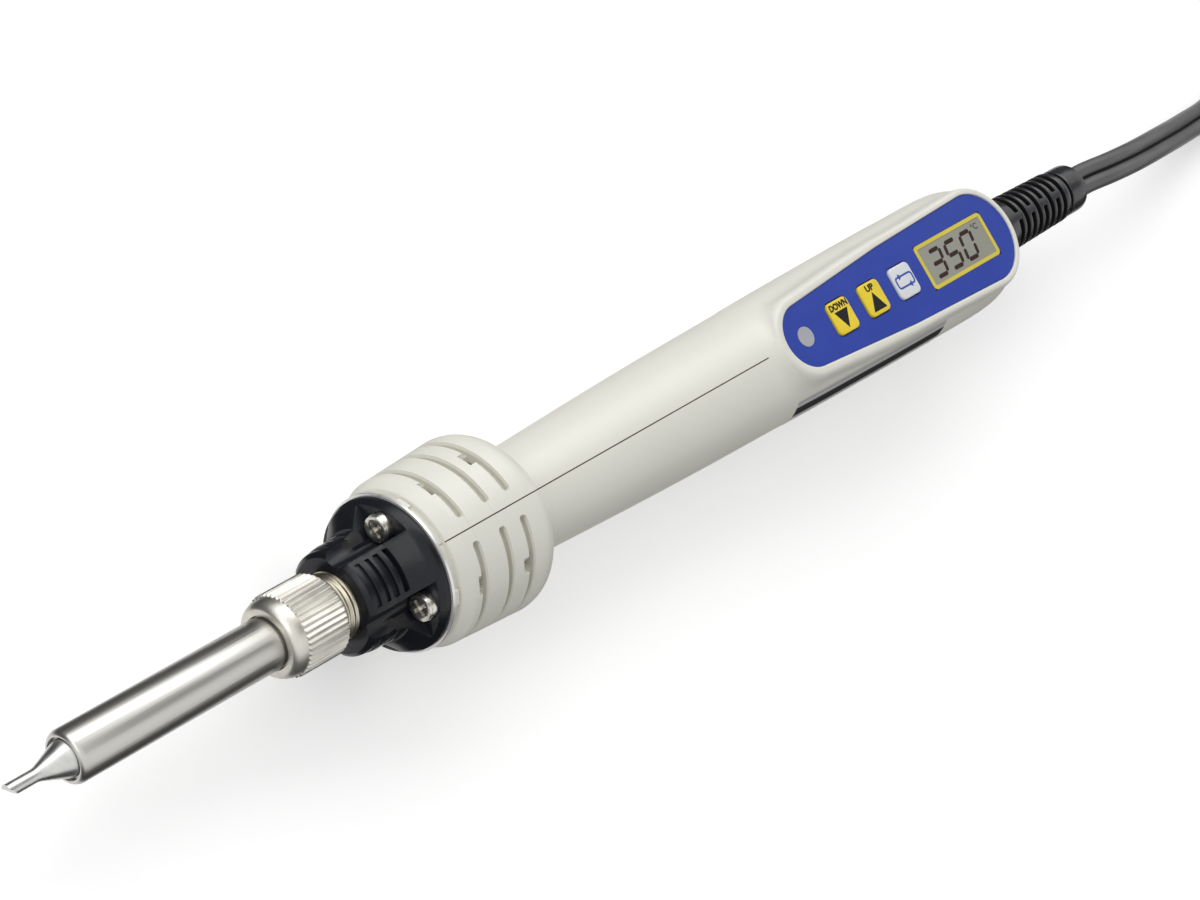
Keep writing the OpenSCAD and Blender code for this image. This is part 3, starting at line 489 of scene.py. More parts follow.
def cord_line():
    """The whole route: lead, hank and tail, each point with the turn of the cord's width."""
    lead = spline([[EXIT_X + x, y, EXIT_Z + z, turn] for x, y, z, turn in LEAD], 4)
    hank = [[*hank_point(TURNS * i / RINGS), 90] for i in range(1, RINGS)]
    end = hank_point(TURNS)
    return lead + hank + spline([[end.x + x, end.y + y, end.z + z, turn] for x, y, z, turn in TAIL], 3)


def make_cord():
    """Flat twin cord swept along its route, in one piece, with its tie, plug and blades."""
    line = cord_line()
    section = twin_section()
    n = len(section)
    verts = []
    for i, p in enumerate(line):
        a, b = line[max(i - 1, 0)], line[min(i + 1, len(line) - 1)]
        head = Vector((b[0] - a[0], b[1] - a[1], b[2] - a[2])).normalized()
        if i in (0, len(line) - 1):
            head = Vector((1, 0, 0))
        level = Vector((head.y, -head.x, 0)).normalized()
        rise = level.cross(head)
        turn = radians(p[3])
        across = level * cos(turn) + rise * sin(turn)
        up = head.cross(across)
        for q in section:
            verts.append((Vector(p[:3]) + across * q[0] + up * q[1]) * MM)
    faces = bridge(len(line), n)
    faces += [tuple(range(n)), tuple((len(line) - 1) * n + k for k in range(n))]
    ob = mesh_object("mains_cord", verts, faces, MAT["cord"], angle=60)
    # Painted shade: the faces beside the notch between the cores take the near-black groove colour.
    ob.data.materials.append(MAT["groove"])
    for i in range(len(line) - 1):
        for k in (n // 2 - 2, n // 2 - 1, n - 2, n - 1):
            ob.data.polygons[i * n + k].material_index = 1
    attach(ob, "iron")
    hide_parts("power_cord", "cord_hank", "cord_tail")
    make_tie()
    make_plug()
    softened("plug_blades")


make_cord()


# ---- handle shell
PEAK_X, COLLAR_R, NECK_R = 95.8, 15.0, 9.15
NECK_X = 104.02
# The collar's band: a slight cone, grooves in it, and where the shell is read as collar.
CONE_X, CONE_R, CONE_RISE = 80.0, 14.04, 0.0608
GROOVES = (83.0, 88.6, 93.1)
GROOVE_HALF, GROOVE_DEEP = 0.62, 1.05
COLLAR_FROM, COLLAR_TO = 79.5, 98


def cone_radius(x):
    return CONE_R + (x - CONE_X) * CONE_RISE


def collar_arcs():
    """Rounded rear edge of the collar and the hollow round that leads into the neck."""
    ro, ri = 5.2, 3.5
    zo, zi = COLLAR_R - ro, NECK_R + ri
    reach = acos((zi - zo) / (ro + ri))
    dx = sqrt((ro + ri) ** 2 - (zi - zo) ** 2)
    pts = [(PEAK_X + ro * sin(reach * i / 12), zo + ro * cos(reach * i / 12)) for i in range(13)]
    pts += [(PEAK_X + dx - ri * sin(reach * i / 10), zi - ri * cos(reach * i / 10))
            for i in range(9, -1, -1)]
    return pts


# Radius of the handle at its stations, from the neck to the rounded rear end.
LONG = [(NECK_X, NECK_R), (108, 9.24), (117, 9.6), (130, 10.1), (145, 10.55), (163, 10.92), (175, 11.2),
        (195, 11.5), (212, 11.64), (222, 11.66), (226, 11.5), (229, 11.05), (231, 10.25), (232.3, 9.05),
        (232.85, 8.2), (SHELL_END, 7.5)]


def long_radius(x):
    """Radius of the handle behind the neck, on a smooth line through the stations."""
    for i in range(len(LONG) - 1):
        if x <= LONG[i + 1][0]:
            break
    p0, p1, p2, p3 = (LONG[max(0, min(len(LONG) - 1, k))] for k in (i - 1, i, i + 1, i + 2))
    h = p2[0] - p1[0]
    t = (x - p1[0]) / h
    m1 = (p2[1] - p0[1]) / (p2[0] - p0[0]) * h if i else 0.0
    m2 = (p3[1] - p1[1]) / (p3[0] - p1[0]) * h
    return ((2 * t ** 3 - 3 * t * t + 1) * p1[1] + (t ** 3 - 2 * t * t + t) * m1
            + (3 * t * t - 2 * t ** 3) * p2[1] + (t ** 3 - t * t) * m2)


def shell_profile():
    """Half section of the shell from the front bore to the rear bore."""
    front = [(SHELL_X, 5.2), (SHELL_X, 12.2), (78.3, 12.2), (78.4, 12.2), (78.78, 12.22), (78.8, 12.9),
             (78.88, 13.04), (79.0, 13.13), (79.6, 13.42), (80.2, 13.71), (80.6, 13.9), (80.9, 14.02),
             (81.1, 14.09)]
    steps = (-0.72, -0.62, -0.55, -0.38, -0.19, 0, 0.19, 0.38, 0.55, 0.62, 0.72, 0.9)
    xs = [g + d for g in GROOVES for d in steps]
    xs += [81.35, 81.6, 83.5, 83.6, 86.0, 86.7, 88.45, 88.55, 91.0, 91.15, 91.2, 93.25, 93.35, 94.6]
    band = [(x, cone_radius(x)) for x in sorted(xs)]
    last = 226
    body = [NECK_X + (last - NECK_X) * i / 56 for i in range(1, 57)]
    body += [227, 228, 229, 230, 230.6, 231.2, 231.8, 232.2, 232.5, 232.75, 232.9, SHELL_END]
    back = [(x, long_radius(x)) for x in body]
    return front + band + collar_arcs() + back + [(232.9, 7.1), (232.4, 6.9), (232.4, 5.2)]


def from_seam(deg):
    """Angle from the nearer seam line, top or bottom."""
    a = abs(deg)
    return min(a, 180 - a)


# Grooves start this far from the seam and have round ends; vents break through the outer two.
GROOVE_FROM, GROOVE_ROUND = 8.8, 2.2
VENTS = ((GROOVES[0], 32.8, 40.2), (GROOVES[2], 36, 43.2))
VENT_DEEP = 1.9


def dent(x, deg):
    """How far grooves and vents lie below the plain turned form."""
    a = from_seam(deg)
    d = 0.0
    if a > GROOVE_FROM:
        end = max(0, (GROOVE_FROM + GROOVE_ROUND - a) / GROOVE_ROUND)
        reach = GROOVE_HALF * sqrt(max(0, 1 - end ** 2))
        for g in GROOVES:
            d = max(d, GROOVE_DEEP * smooth((reach - abs(x - g)) / 0.08 + 0.5))
    for g, lo, hi in VENTS:
        if lo <= a <= hi and g - 1.2 <= x <= g + 0.5:
            d = VENT_DEEP
    return d


def shell_angles():
    """Angles round half the shell, denser at the groove ends and the vents."""
    quarter = [2, 4, 6, 7.5, 8.6, 8.9, 9.2, 9.6, 10.1, 10.6, 11.0, 11.6, 13, 16, 19, 22, 25, 28, 29.8, 30,
               32.8, 33, 33.9, 34, 36, 38, 40, 40.2, 43, 43.2, 45, 45.1, *range(48, 91, 3)]
    return quarter + [180 - q for q in reversed(quarter[:-1])]


# The panel film's outline: three circles on the centre line, joined by their tangents.
PANEL = ((170.8, 5.8), (196.15, 7.55), (221.5, 8.4))
PANEL_Z = 12.0


def lean(i):
    """Slant of the tangent between two of the circles, in degrees."""
    (x0, r0), (x1, r1) = PANEL[i], PANEL[i + 1]
    return degrees(asin((r1 - r0) / (x1 - x0)))


def panel_line():
    """Points and outward directions round the panel film's edge."""
    def arc(circle, a0, a1, n):
        x, r = circle
        turns = [radians(a0 + (a1 - a0) * i / n) for i in range(n + 1)]
        return [(x + r * cos(a), r * sin(a), cos(a), sin(a)) for a in turns]

    straight = 16
    f, r = 90 + lean(0), 90 + lean(1)
    arcs = [arc(PANEL[2], -r, r, 56), arc(PANEL[1], r, f, 4), arc(PANEL[0], f, 360 - f, 40),
            arc(PANEL[1], -f, -r, 4)]
    out = []
    for here, after in zip(arcs, arcs[1:] + arcs[:1]):
        out += here
        for i in range(1, straight + 1):
            t = i / (straight + 1)
            out.append(tuple(u + (v - u) * t for u, v in zip(here[-1], after[0])))
    return out


def panel_offset(x, y):
    """Distance of a point outside the film's edge, negative inside."""
    found = []
    for (x0, r0), (x1, r1) in zip(PANEL, PANEL[1:]):
        t = min(max((x - x0) / (x1 - x0) + abs(y) * (r1 - r0) / (x1 - x0) ** 2, 0), 1)
        found.append(hypot(x - (x0 + (x1 - x0) * t), y) - (r0 + (r1 - r0) * t))
    return min(found)


SEAM = ((0.0, 0.28), (0.085, 0.28), (0.11, 0.0))
MARK_X = (83.55, 88.5, 93.3)
NOTCH = (34, 45)


def shell_row(r):
    """Angles round the shell at one radius, each with the seam's depth there."""
    half = [(degrees(s / r), d) for s, d in SEAM]
    half += [(q, 0.0) for q in shell_angles()]
    half += [(180 - degrees(s / r), d) for s, d in reversed(SEAM)]
    return half + [(-q, d) for q, d in reversed(half[1:-1])]


def shell_radius(x, r, deg, seam):
    """Radius of the shell with its grooves, vents, joint marks, front notches and seam."""
    a = from_seam(deg)
    depth = 0
    if COLLAR_FROM < x < COLLAR_TO:
        depth = dent(x, deg)
        if a < 8.9 and min(abs(x - m) for m in MARK_X) < 0.06:
            depth += 0.07
    if x < 78.35 and r > 12 and NOTCH[0] <= a <= NOTCH[1]:
        r = 12.95
    if r > 6:
        depth += seam
    return r - depth


def paint_shell(ob):
    """Painted shade: dark vents and seam, and a darker colour in the grooves for the shade in them."""
    for key in ("vent", "seam", "recess"):
        ob.data.materials.append(MAT[key])
    for p in ob.data.polygons:
        x = (p.center.x - ORIGIN_X) / MM
        y, z = p.center.y / MM, (p.center.z - AXIS_Z) / MM
        if COLLAR_FROM < x < COLLAR_TO:
            depth = cone_radius(x) - hypot(y, z)
            # Painted shade: the vent dents take the dark vent colour.
            if x < PEAK_X and 1.75 < depth < 4:
                p.material_index = 1
            # Painted shade: groove floors take the darker groove colour.
            elif 82 < x < 94.5 and 0.5 < depth < 1.6:
                p.material_index = 3
        if abs(y) < 0.09 and 78.9 < x < 232.8:
            p.material_index = 2


def make_shell():
    """Both handle halves as one turned form, open under the panel."""
    verts = []
    rows = shell_profile()
    for x, r in rows:
        for q, seam in shell_row(r):
            rr = shell_radius(x, r, q, seam)
            t = radians(q)
            verts.append((x, rr * sin(t), rr * cos(t)))
    n = len(verts) // len(rows)

    def hidden(quad):
        return all(verts[v][2] > 6 and panel_offset(verts[v][0], verts[v][1]) < 1.0 for v in quad)

    faces = [quad for quad in bridge(len(rows), n) if not hidden(quad)]
    ob = mesh_object("handle_shell", [at(*v) for v in verts], faces, MAT["handle"], angle=38)
    paint_shell(ob)
    return ob


def radius_at(x):
    """Radius of the handle anywhere along it."""
    return long_radius(min(x, SHELL_END)) if x >= NECK_X else NECK_R


def body_height(x, y):
    """Height of the handle's surface over the axis."""
    r = radius_at(x)
    return sqrt(max(r * r - y * y, 0))


def slimmer(x):
    """Share of the bezel's width that is left, as it narrows from its front to its rear."""
    return 1.0 - 0.28 * smooth((x - 182) / 26)


# Section of the bezel's wall: distance outside the film's edge, and height.
WALL = [(1.12, 11.97), (1.3, 11.88), (1.48, 11.72), (1.64, 11.5), (1.78, 11.22), (1.9, 10.85), (2.0, 10.2),
        (2.08, 9.4), (2.14, 8.6), (2.18, 7.8), (2.2, 7.0), (2.2, 0.0)]
WALL_LENGTH = [0.0]
for wall_a, wall_b in zip(WALL, WALL[1:]):
    WALL_LENGTH.append(WALL_LENGTH[-1] + dist(wall_a, wall_b))
WALL_STEPS, FOOT_STEPS = 12, 9


def wall_at(s, slim):
    """Point of the wall's section at a length s down from its top."""
    for i in range(len(WALL) - 1):
        if s <= WALL_LENGTH[i + 1]:
            break
    t = (s - WALL_LENGTH[i]) / (WALL_LENGTH[i + 1] - WALL_LENGTH[i])
    (o0, z0), (o1, z1) = WALL[i], WALL[i + 1]
    return (o0 + (o1 - o0) * t) * slim, z0 + (z1 - z0) * t


def wall_reach(px, py, nx, ny):
    """Length of the wall down to where it meets the handle."""
    slim = slimmer(px)
    lo, hi = 0.0, WALL_LENGTH[-1]
    for _ in range(40):
        mid = (lo + hi) / 2
        o, z = wall_at(mid, slim)
        if z > body_height(px + nx * o, py + ny * o):
            lo = mid
        else:
            hi = mid
    return lo


def pod_column(px, py, nx, ny):
    """Points down the wall and along its soft foot, at one place of the film's edge."""
    slim = slimmer(px)
    reach = wall_reach(px, py, nx, ny)
    o, _ = wall_at(reach, slim)
    cx, cy = px + nx * o, py + ny * o
    front = smooth((176 - cx) / 10)
    flank = smooth((ny - 0.3) / 0.5) * smooth((228 - cx) / 8)
    soft = 0.35 + 1.55 * max(front, flank)
    straight = reach - min(soft, reach * 0.75)
    column = []
    for i in range(WALL_STEPS):
        o, z = wall_at(straight * i / (WALL_STEPS - 1), slim)
        column.append((px + nx * o, py + ny * o, z))
    start = Vector(column[-1])
    corner = Vector((cx, cy, body_height(cx, cy)))

    def on_body(f):
        x = min(cx + f * nx, SHELL_END - 0.03)
        phi = atan2(cy, corner.z) + f * ny / radius_at(cx)
        r = radius_at(x) + 0.006
        return Vector((x, r * sin(phi), r * cos(phi)))

    foot = soft * 1.15
    end = on_body(foot)
    for i in range(1, FOOT_STEPS + 1):
        t = i / FOOT_STEPS
        column.append(tuple(start * (1 - t) ** 2 + corner * 2 * t * (1 - t) + end * t * t))
    under = on_body(foot + 0.35)
    column.append((under.x, under.y * 0.995, under.z * 0.995))
    return column


def make_pod():
    """Raised bezel of the panel: recess, bright thin rim, wall, and a soft foot on the handle."""
    line = panel_line()
    rings = [(-0.8, 10.7), (0.0, 10.7), (0.0, 11.86), (0.04, 11.94), (0.14, 11.99), (0.45, PANEL_Z),
             (0.8, PANEL_Z)]
    verts = []
    for o, z in rings:
        for px, py, nx, ny in line:
            verts.append((px + nx * o * slimmer(px), py + ny * o * slimmer(px), z))
    columns = [pod_column(*place) for place in line]
    for row in zip(*columns):
        verts += row
    faces = bridge(len(rings) + len(columns[0]), len(line))
    faces.append(tuple(range(len(line))))
    ob = mesh_object("panel_bezel", [at(*v) for v in verts], faces, MAT["handle"], angle=50)
    ob.data.materials.append(MAT["seam"])
    ob.data.polygons[len(faces) - 1].material_index = 1
    return ob


shell = make_shell()
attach(shell, "iron")
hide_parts("handle_left", "handle_right")
pod = make_pod()
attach(pod, "iron")


LABEL_X0, LABEL_X1 = 166.2, 209.4
LABEL_ROUND = 0.35


def make_label(name, side, a0, a1):
    """Side label laid on the handle's surface, with its ends slanted to follow the band."""
    nx, na = 40, 24
    verts = []
    for lift in (0.05, -0.25):
        for i in range(nx + 1):
            t = i / nx
            for k in range(na + 1):
                a = radians(a0 + (a1 - a0) * k / na)
                x = LABEL_X0 + (LABEL_X1 - LABEL_X0) * t + (0.9 - 1.4 * t) * k / na
                if (i == 0 and k in (0, na)) or (i == nx and k not in (0, na)):
                    x += LABEL_ROUND * (1 - 2 * t)
                r = radius_at(x) + lift
                verts.append(at(x, side * r * sin(a), r * cos(a)))
    m = (nx + 1) * (na + 1)
    faces = []
    for i in range(nx):
        for k in range(na):
            a, b = i * (na + 1) + k, (i + 1) * (na + 1) + k
            faces.append((a, b, b + 1, a + 1))
            faces.append((m + a, m + a + 1, m + b + 1, m + b))
    rim = [i * (na + 1) for i in range(nx + 1)] + [nx * (na + 1) + k for k in range(1, na + 1)]
    rim += [i * (na + 1) + na for i in range(nx - 1, -1, -1)] + [k for k in range(na - 1, 0, -1)]
    for a, b in zip(rim, rim[1:] + rim[:1]):
        faces.append((a, b, m + b, m + a))
    ob = mesh_object(name + "_foil", verts, faces, MAT["label"], angle=40)
    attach(ob, "iron")
    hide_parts(name)


make_label("label_left", 1, 84, 126)
make_label("label_right", -1, 54.8, 101.5)


# ---- turned metal and rubber
def turned(name, rows, angles, radius, material, closed, angle):
    """Form turned about the axis; radius(row, angle in radians) may vary round it."""
    verts = []
    for row in rows:
        for a in angles:
            r = radius(row, a)
            verts.append(at(row[0], r * sin(a), r * cos(a)))
    return mesh_object(name, verts, bridge(len(rows), len(angles), closed), material, angle)


def round_angles(n):
    return [2 * pi * i / n for i in range(n)]


TEETH, TOOTH_STEPS, TOOTH_DEEP = 44, 8, 0.36
KNURL_R, DOME_X, DOME_R = 6.78, 2.2, 1.30
THREAD_R, THREAD_DEEP, PITCH = 5.6, 0.34, 1.0


def make_nut():
    """Domed front, straight knurl of V grooves, rounded rear edge, shoulder and thread cavity inside."""
    hole, lip, shoulder, thread = 4.33, 5.06, 56.3, 5.7
    rows = [(NUT_X + 0.12, hole, 0), (NUT_X, 4.45, 0), (NUT_X, 4.92, 0), (NUT_X + 0.06, lip, 0)]
    for i in range(1, 13):
        t = radians(90 * i / 12)
        rows.append((NUT_X + 0.06 + DOME_X * (1 - cos(t)), lip + DOME_R * sin(t), 0))
    rows += [(NUT_X + 2.45, 6.36, 0), (NUT_X + 2.50, 6.38, 0), (NUT_X + 2.54, 6.62, 0.8),
             (NUT_X + 2.72, KNURL_R, 1)]
    rows += [(NUT_END - 0.5, KNURL_R, 1), (NUT_END - 0.3, KNURL_R - 0.06, 0.8),
             (NUT_END - 0.12, KNURL_R - 0.2, 0.4), (NUT_END - 0.02, KNURL_R - 0.42, 0),
             (NUT_END, KNURL_R - 0.6, 0)]
    rows += [(NUT_END, 5.85, 0), (NUT_END - 0.1, 5.72, 0), (shoulder, thread, 0), (shoulder, hole, 0)]

    def radius(row, a):
        _, r, share = row
        u = (a * TEETH / (2 * pi)) % 1
        v = min(max((abs(u - 0.5) * 2 - 0.12) / 0.76, 0), 1)
        return r - share * TOOTH_DEEP * v

    ob = turned("knurled_nut", rows, round_angles(TEETH * TOOTH_STEPS), radius, MAT["nut"], True, 40)
    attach(ob, "nut_body")
    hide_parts("cap_nut")


def make_ferrule():
    """Screw thread in front of the nose, plain seat behind, and a bore right through."""
    seat_x, seat_end, seat_r, bore = 68.5, 70.5, 6.4, 3.0
    rows = [(FERRULE_X + PITCH * i / 16, None) for i in range(107)]
    rows += [(NOSE_X + 0.05, THREAD_R), (seat_x, THREAD_R), (seat_x, seat_r), (seat_end, seat_r),
             (seat_end, bore), (FERRULE_X, bore)]

    def radius(row, a):
        x, r = row
        if r is None:
            u = (x / PITCH - a / (2 * pi)) % 1
            v = min(max((abs(u - 0.5) * 2 - 0.15) / 0.6, 0), 1)
            r = THREAD_R - THREAD_DEEP * v
        return r

    ob = turned("threaded_ferrule", rows, round_angles(96), radius, MAT["ferrule"], True, 50)
    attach(ob, "iron")
    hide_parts("ferrule")


# Outline of the relief between its slots, the ring at its end and the core inside the slots.
RELIEF = [(SHELL_END - 4.0, 5.5), (SHELL_END, 5.5), (SHELL_END + 13.8, 5.1), (SHELL_END + 25.5, 4.86),
          (TOTAL - 5.0, 4.62)]
RING_R, CORE_INNER = 4.62, 3.72
# Middle, half width and kind of each slot: webs on the sides, webs at top and bottom, or none.
SLOTS = [(SHELL_END + 9 + 2.1 * i, 0.62, i % 2) for i in range(8)] + [(TOTAL - 5.35, 0.5, 2)]
PLAIN, END = 3, 4


def relief_outline(x):
    """Outer radius of the relief between its slots."""
    for (x0, r0), (x1, r1) in zip(RELIEF, RELIEF[1:]):
        if x <= x1:
            return r0 + (r1 - r0) * (x - x0) / (x1 - x0)
    return RING_R


def relief_rows():
    """Place, depth below the outline and kind of each row along the relief."""
    edge = ((0.30, 0.0), (0.16, 0.03), (0.07, 0.09), (0.01, 0.2))
    rows = [(x, 0, PLAIN) for x in (SHELL_END - 4.0, SHELL_END, SHELL_END + 3, SHELL_END + 6)]
    for x, half, kind in SLOTS:
        for e, d in edge:
            rows += [(x - half - e, d, kind if d else PLAIN), (x + half + e, d, kind if d else PLAIN)]
        rows += [(x - half, 9, kind), (x + half, 9, kind)]
    rows = [r for r in sorted(rows) if r[0] < TOTAL - 4.5]
    rows += [(TOTAL - 4.4, 0.0, PLAIN), (TOTAL - 2.4, -0.05, PLAIN), (TOTAL - 0.55, 0.0, PLAIN),
             (TOTAL - 0.28, 0.07, PLAIN), (TOTAL - 0.1, 0.2, PLAIN), (TOTAL, 0.42, PLAIN)]
    return rows + [(TOTAL, 3.55, END), (TOTAL - 0.25, 3.3, END), (TOTAL - 0.25, 0.05, END)]


def relief_radius(row, a):
    """Radius at one row and angle; the rows of the end give theirs directly."""
    x, d, kind = row
    if kind == END:
        return d
    r = relief_outline(x)
    if kind == PLAIN:
        return r - d
    q = degrees(a) % 180
    off = min(q, 180 - q) if kind == 0 else abs(q - 90)
    if kind != 2 and off < 8.6:
        return r
    return max(CORE_INNER, r - d) if kind == 2 or off > 9.4 else max(CORE_INNER, r - d * 0.2)


def make_relief():
    """Rubber relief with rounded ribs, alternating webs, slots painted near black for the shade in them, and
    a rounded end ring.
    """
    eighth = (0, 3, 6, 8.2, 9.0, 9.8, 11.5, 15, 20, 25, 30, 35, 40, 45)
    quarter = eighth + tuple(90 - a for a in reversed(eighth[1:-1]))
    angles = [radians(90 * q + a) for q in range(4) for a in quarter]
    ob = turned("ribbed_relief", relief_rows(), angles, relief_radius, MAT["rubber"], False, 40)
    # Painted shade: faces deep in the slots take the near-black slot colour.
    ob.data.materials.append(MAT["slot"])
    for p in ob.data.polygons:
        x = (p.center.x - ORIGIN_X) / MM
        r = hypot(p.center.y, p.center.z - AXIS_Z) / MM
        if SHELL_END + 7 < x < TOTAL - 4.4 and r < relief_outline(x) - 0.3:
            p.material_index = 1
    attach(ob, "iron")
    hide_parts("strain_relief")


make_nut()
make_ferrule()
make_relief()


# ---- keys, display and lettering
KEYS = {"key_down": 180.2, "key_up": 189.2, "key_mode": 198.2}
KEY_L, KEY_W, KEY_R = 5.6, 6.0, 1.0
KEY_LOW, KEY_TOP = 11.42, 12.12
PRINT = 0.012
SUNK = 0.004


def cushion_cap(name, x, material):
    """Key cap with a rounded top edge and a slightly crowned face."""
    steps = [(0, KEY_LOW), (0, KEY_TOP - 0.26), (0.03, KEY_TOP - 0.16), (0.09, KEY_TOP - 0.08),
             (0.18, KEY_TOP - 0.03), (0.32, KEY_TOP - 0.012), (0.9, KEY_TOP - 0.004), (1.6, KEY_TOP)]
    verts = []
    for d, z in steps:
        for px, py in rounded_rect(KEY_L - 2 * d, KEY_W - 2 * d, max(KEY_R - d, 0.15)):
            verts.append(at(x + px, py, z))
    n = len(verts) // len(steps)
    faces = bridge(len(steps), n)
    faces += [tuple((len(steps) - 1) * n + i for i in range(n)), tuple(range(n))]
    return mesh_object(name, verts, faces, material, angle=60)


def plate(name, outline, z, t, material, holes=()):
    """Thin flat shape, a filled outline with any holes."""
    bm = bmesh.new()
    edges = []
    for loop in (outline, *holes):
        vs = [bm.verts.new(at(px, py, z)) for px, py in loop]
        edges += [bm.edges.new((vs[i], vs[(i + 1) % len(vs)])) for i in range(len(vs))]
    bmesh.ops.triangle_fill(bm, use_beauty=True, edges=edges)
    bmesh.ops.recalc_face_normals(bm, faces=bm.faces)
    for f in bm.faces:
        if f.normal.z < 0:
            f.normal_flip()
    got = bmesh.ops.extrude_face_region(bm, geom=list(bm.faces))
    top = [v for v in got["geom"] if isinstance(v, bmesh.types.BMVert)]
    bmesh.ops.translate(bm, vec=(0, 0, t * MM), verts=top)
    bmesh.ops.recalc_face_normals(bm, faces=bm.faces)
    me = bpy.data.meshes.new(name)
    bm.to_mesh(me)
    bm.free()
    ob = new_object(name, me)
    me.materials.append(material)
    return ob


def lettering(name, text, x, y, z, height, width, material, weight):
    """Text as thin geometry, fitted to a height and a width about its middle."""
    cu = bpy.data.curves.new(name + "_curve", "FONT")
    cu.body = text
    cu.align_x = "CENTER"
    cu.align_y = "CENTER"
    cu.size = 1.0
    cu.offset = weight
    cu.extrude = 0.01
    tmp = new_object(name + "_tmp", cu)
    bpy.context.view_layer.update()
    me = bpy.data.meshes.new_from_object(tmp.evaluated_get(bpy.context.evaluated_depsgraph_get()))
    bpy.data.objects.remove(tmp)
    bpy.data.curves.remove(cu)
    xs = [v.co.x for v in me.vertices]
    ys = [v.co.y for v in me.vertices]
    left, right, low, high = min(xs), max(xs), min(ys), max(ys)
    sx, sy = width / (right - left), height / (high - low)
    for v in me.vertices:
        v.co = at(x + (v.co.x - (left + right) / 2) * sx, y + (v.co.y - (low + high) / 2) * sy, z + v.co.z)
    me.name = name
    ob = new_object(name, me)
    me.materials.clear()
    me.materials.append(material)
    return ob


def ink(ob, body):
    """A printed shape rides with its body and stands for no solid."""
    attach(ob, body)


def print_key(key, word, width, arrow):
    """The word and the arrow on one of the yellow keys, whose name ends in the same word."""
    x, black, name = KEYS[key], MAT["key_ink"], word.lower()
    text = lettering("print_" + name, word, x, 1.95, KEY_TOP, 1.25, width, black, 0.05)
    outline = [(x + a, b) for a, b in arrow]
    mark = plate("arrow_" + name, outline, KEY_TOP - SUNK, PRINT, black)
    for ob in (text, mark):
        ink(ob, key + "_body")


def print_loop():
    """The round-about mark on the white key: a rounded ring with two arrowheads."""
    x, blue = KEYS["key_mode"], MAT["blue_ink"]
    outer = [(x + a, b) for a, b in rounded_rect(4.8, 2.35, 0.7)]
    inner = [(x + a, b) for a, b in rounded_rect(4.1, 1.65, 0.35)]
    ink(plate("loop_mark", outer, KEY_TOP - SUNK, PRINT, blue, (inner,)), "key_mode_body")
    for name, side in (("loop_arrow_a", 1), ("loop_arrow_b", -1)):
        head = [(x + side * a, side * b) for a, b in ((-1.3, 1.62), (-1.3, 0.38), (-0.35, 1.0))]
        ink(plate(name, head, KEY_TOP, PRINT, blue), "key_mode_body")


def make_keys():
    """Three key caps with their print, each riding with its key."""
    for name, x in KEYS.items():
        colour = "key_white" if name == "key_mode" else "key_yellow"
        cap = cushion_cap(name + "_cap", x, MAT[colour])
        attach(cap, name + "_body")
        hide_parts(name)
    print_key("key_down", "DOWN", 4.8, [(-1.8, 1.05), (0, -2.35), (1.8, 1.05)])
    print_key("key_up", "UP", 2.2, [(-1.8, -2.3), (0, 1.15), (1.8, -2.3)])
    print_loop()


make_keys()

# Front, rear and half width of the display's window, and the heights of its border, face and figures.
WINDOW = (204.4, 224.6, 4.25)
BORDER_LOW, BORDER_TOP = 11.35, 11.72
FACE_LOW, FACE_TOP = 11.3, 11.62
FIGURES = (("3", 208.7), ("5", 213.4), ("0", 218.1))
FIGURE_W, FIGURE_H, STROKE, SLANT = 3.05, 4.7, 0.78, 0.17
SEGMENTS = {"3": "abcdg", "5": "acdfg", "0": "abcdef"}


def bar(x0, y0, x1, y1):
    """One segment between two points of the figure, with pointed ends and a small gap at each."""
    gap, half = 0.13, STROKE / 2
    point = half * 0.7
    if abs(x1 - x0) > abs(y1 - y0):
        a, b = x0 + gap, x1 - gap
        return [(a, y0), (a + point, y0 + half), (b - point, y0 + half), (b, y0),
                (b - point, y0 - half), (a + point, y0 - half)]
    a, b = y0 + gap, y1 - gap
    return [(x0, a), (x0 + half, a + point), (x0 + half, b - point), (x0, b),
            (x0 - half, b - point), (x0 - half, a + point)]


def digit_marks(figure, cx, cy):
    """Outlines of a seven-segment figure, slanted to the right."""
    w, h = FIGURE_W / 2, FIGURE_H / 2
    lines = {"a": (-w, h, w, h), "b": (w, 0, w, h), "c": (w, -h, w, 0), "d": (-w, -h, w, -h),
             "e": (-w, -h, -w, 0), "f": (-w, 0, -w, h), "g": (-w, 0, w, 0)}
    return [[(cx + px + py * SLANT, cy + py) for px, py in bar(*lines[k])] for k in SEGMENTS[figure]]


def make_display():
    """Printed border, grey face and the figures of the display."""
    x0, x1, hw = WINDOW
    cx, l = (x0 + x1) / 2, x1 - x0

    def frame_line(inset_l, inset_w, r):
        return [(cx + a, b) for a, b in rounded_rect(l - inset_l, 2 * hw - inset_w, r)]

    rim = plate("display_border", frame_line(0, 0, 0.9), BORDER_LOW, BORDER_TOP - BORDER_LOW, MAT["frame"],
                (frame_line(1.5, 1.4, 0.25),))
    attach(rim, "iron")
    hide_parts("lcd_window")
    ink(plate("display_face", frame_line(1.4, 1.3, 0.25), FACE_LOW, FACE_TOP - FACE_LOW, MAT["lcd"]),
        "iron")
    marks = [outline for figure, x in FIGURES for outline in digit_marks(figure, x, -0.15)]
    for n, outline in enumerate(marks):
        ink(plate("segment_%02d" % n, outline, FACE_TOP - 0.005, PRINT, MAT["digit"]), "iron")
    unit = lettering("unit_mark", "°C", 221.7, 2.3, FACE_TOP + 0.002, 1.2, 1.75, MAT["digit"], 0.01)
    ink(unit, "iron")


make_display()


# ---- light and floor
WORLD, FLOOR_GLOW, KEY, FRONT = 0.50, 0.40, 4.7, 3.0


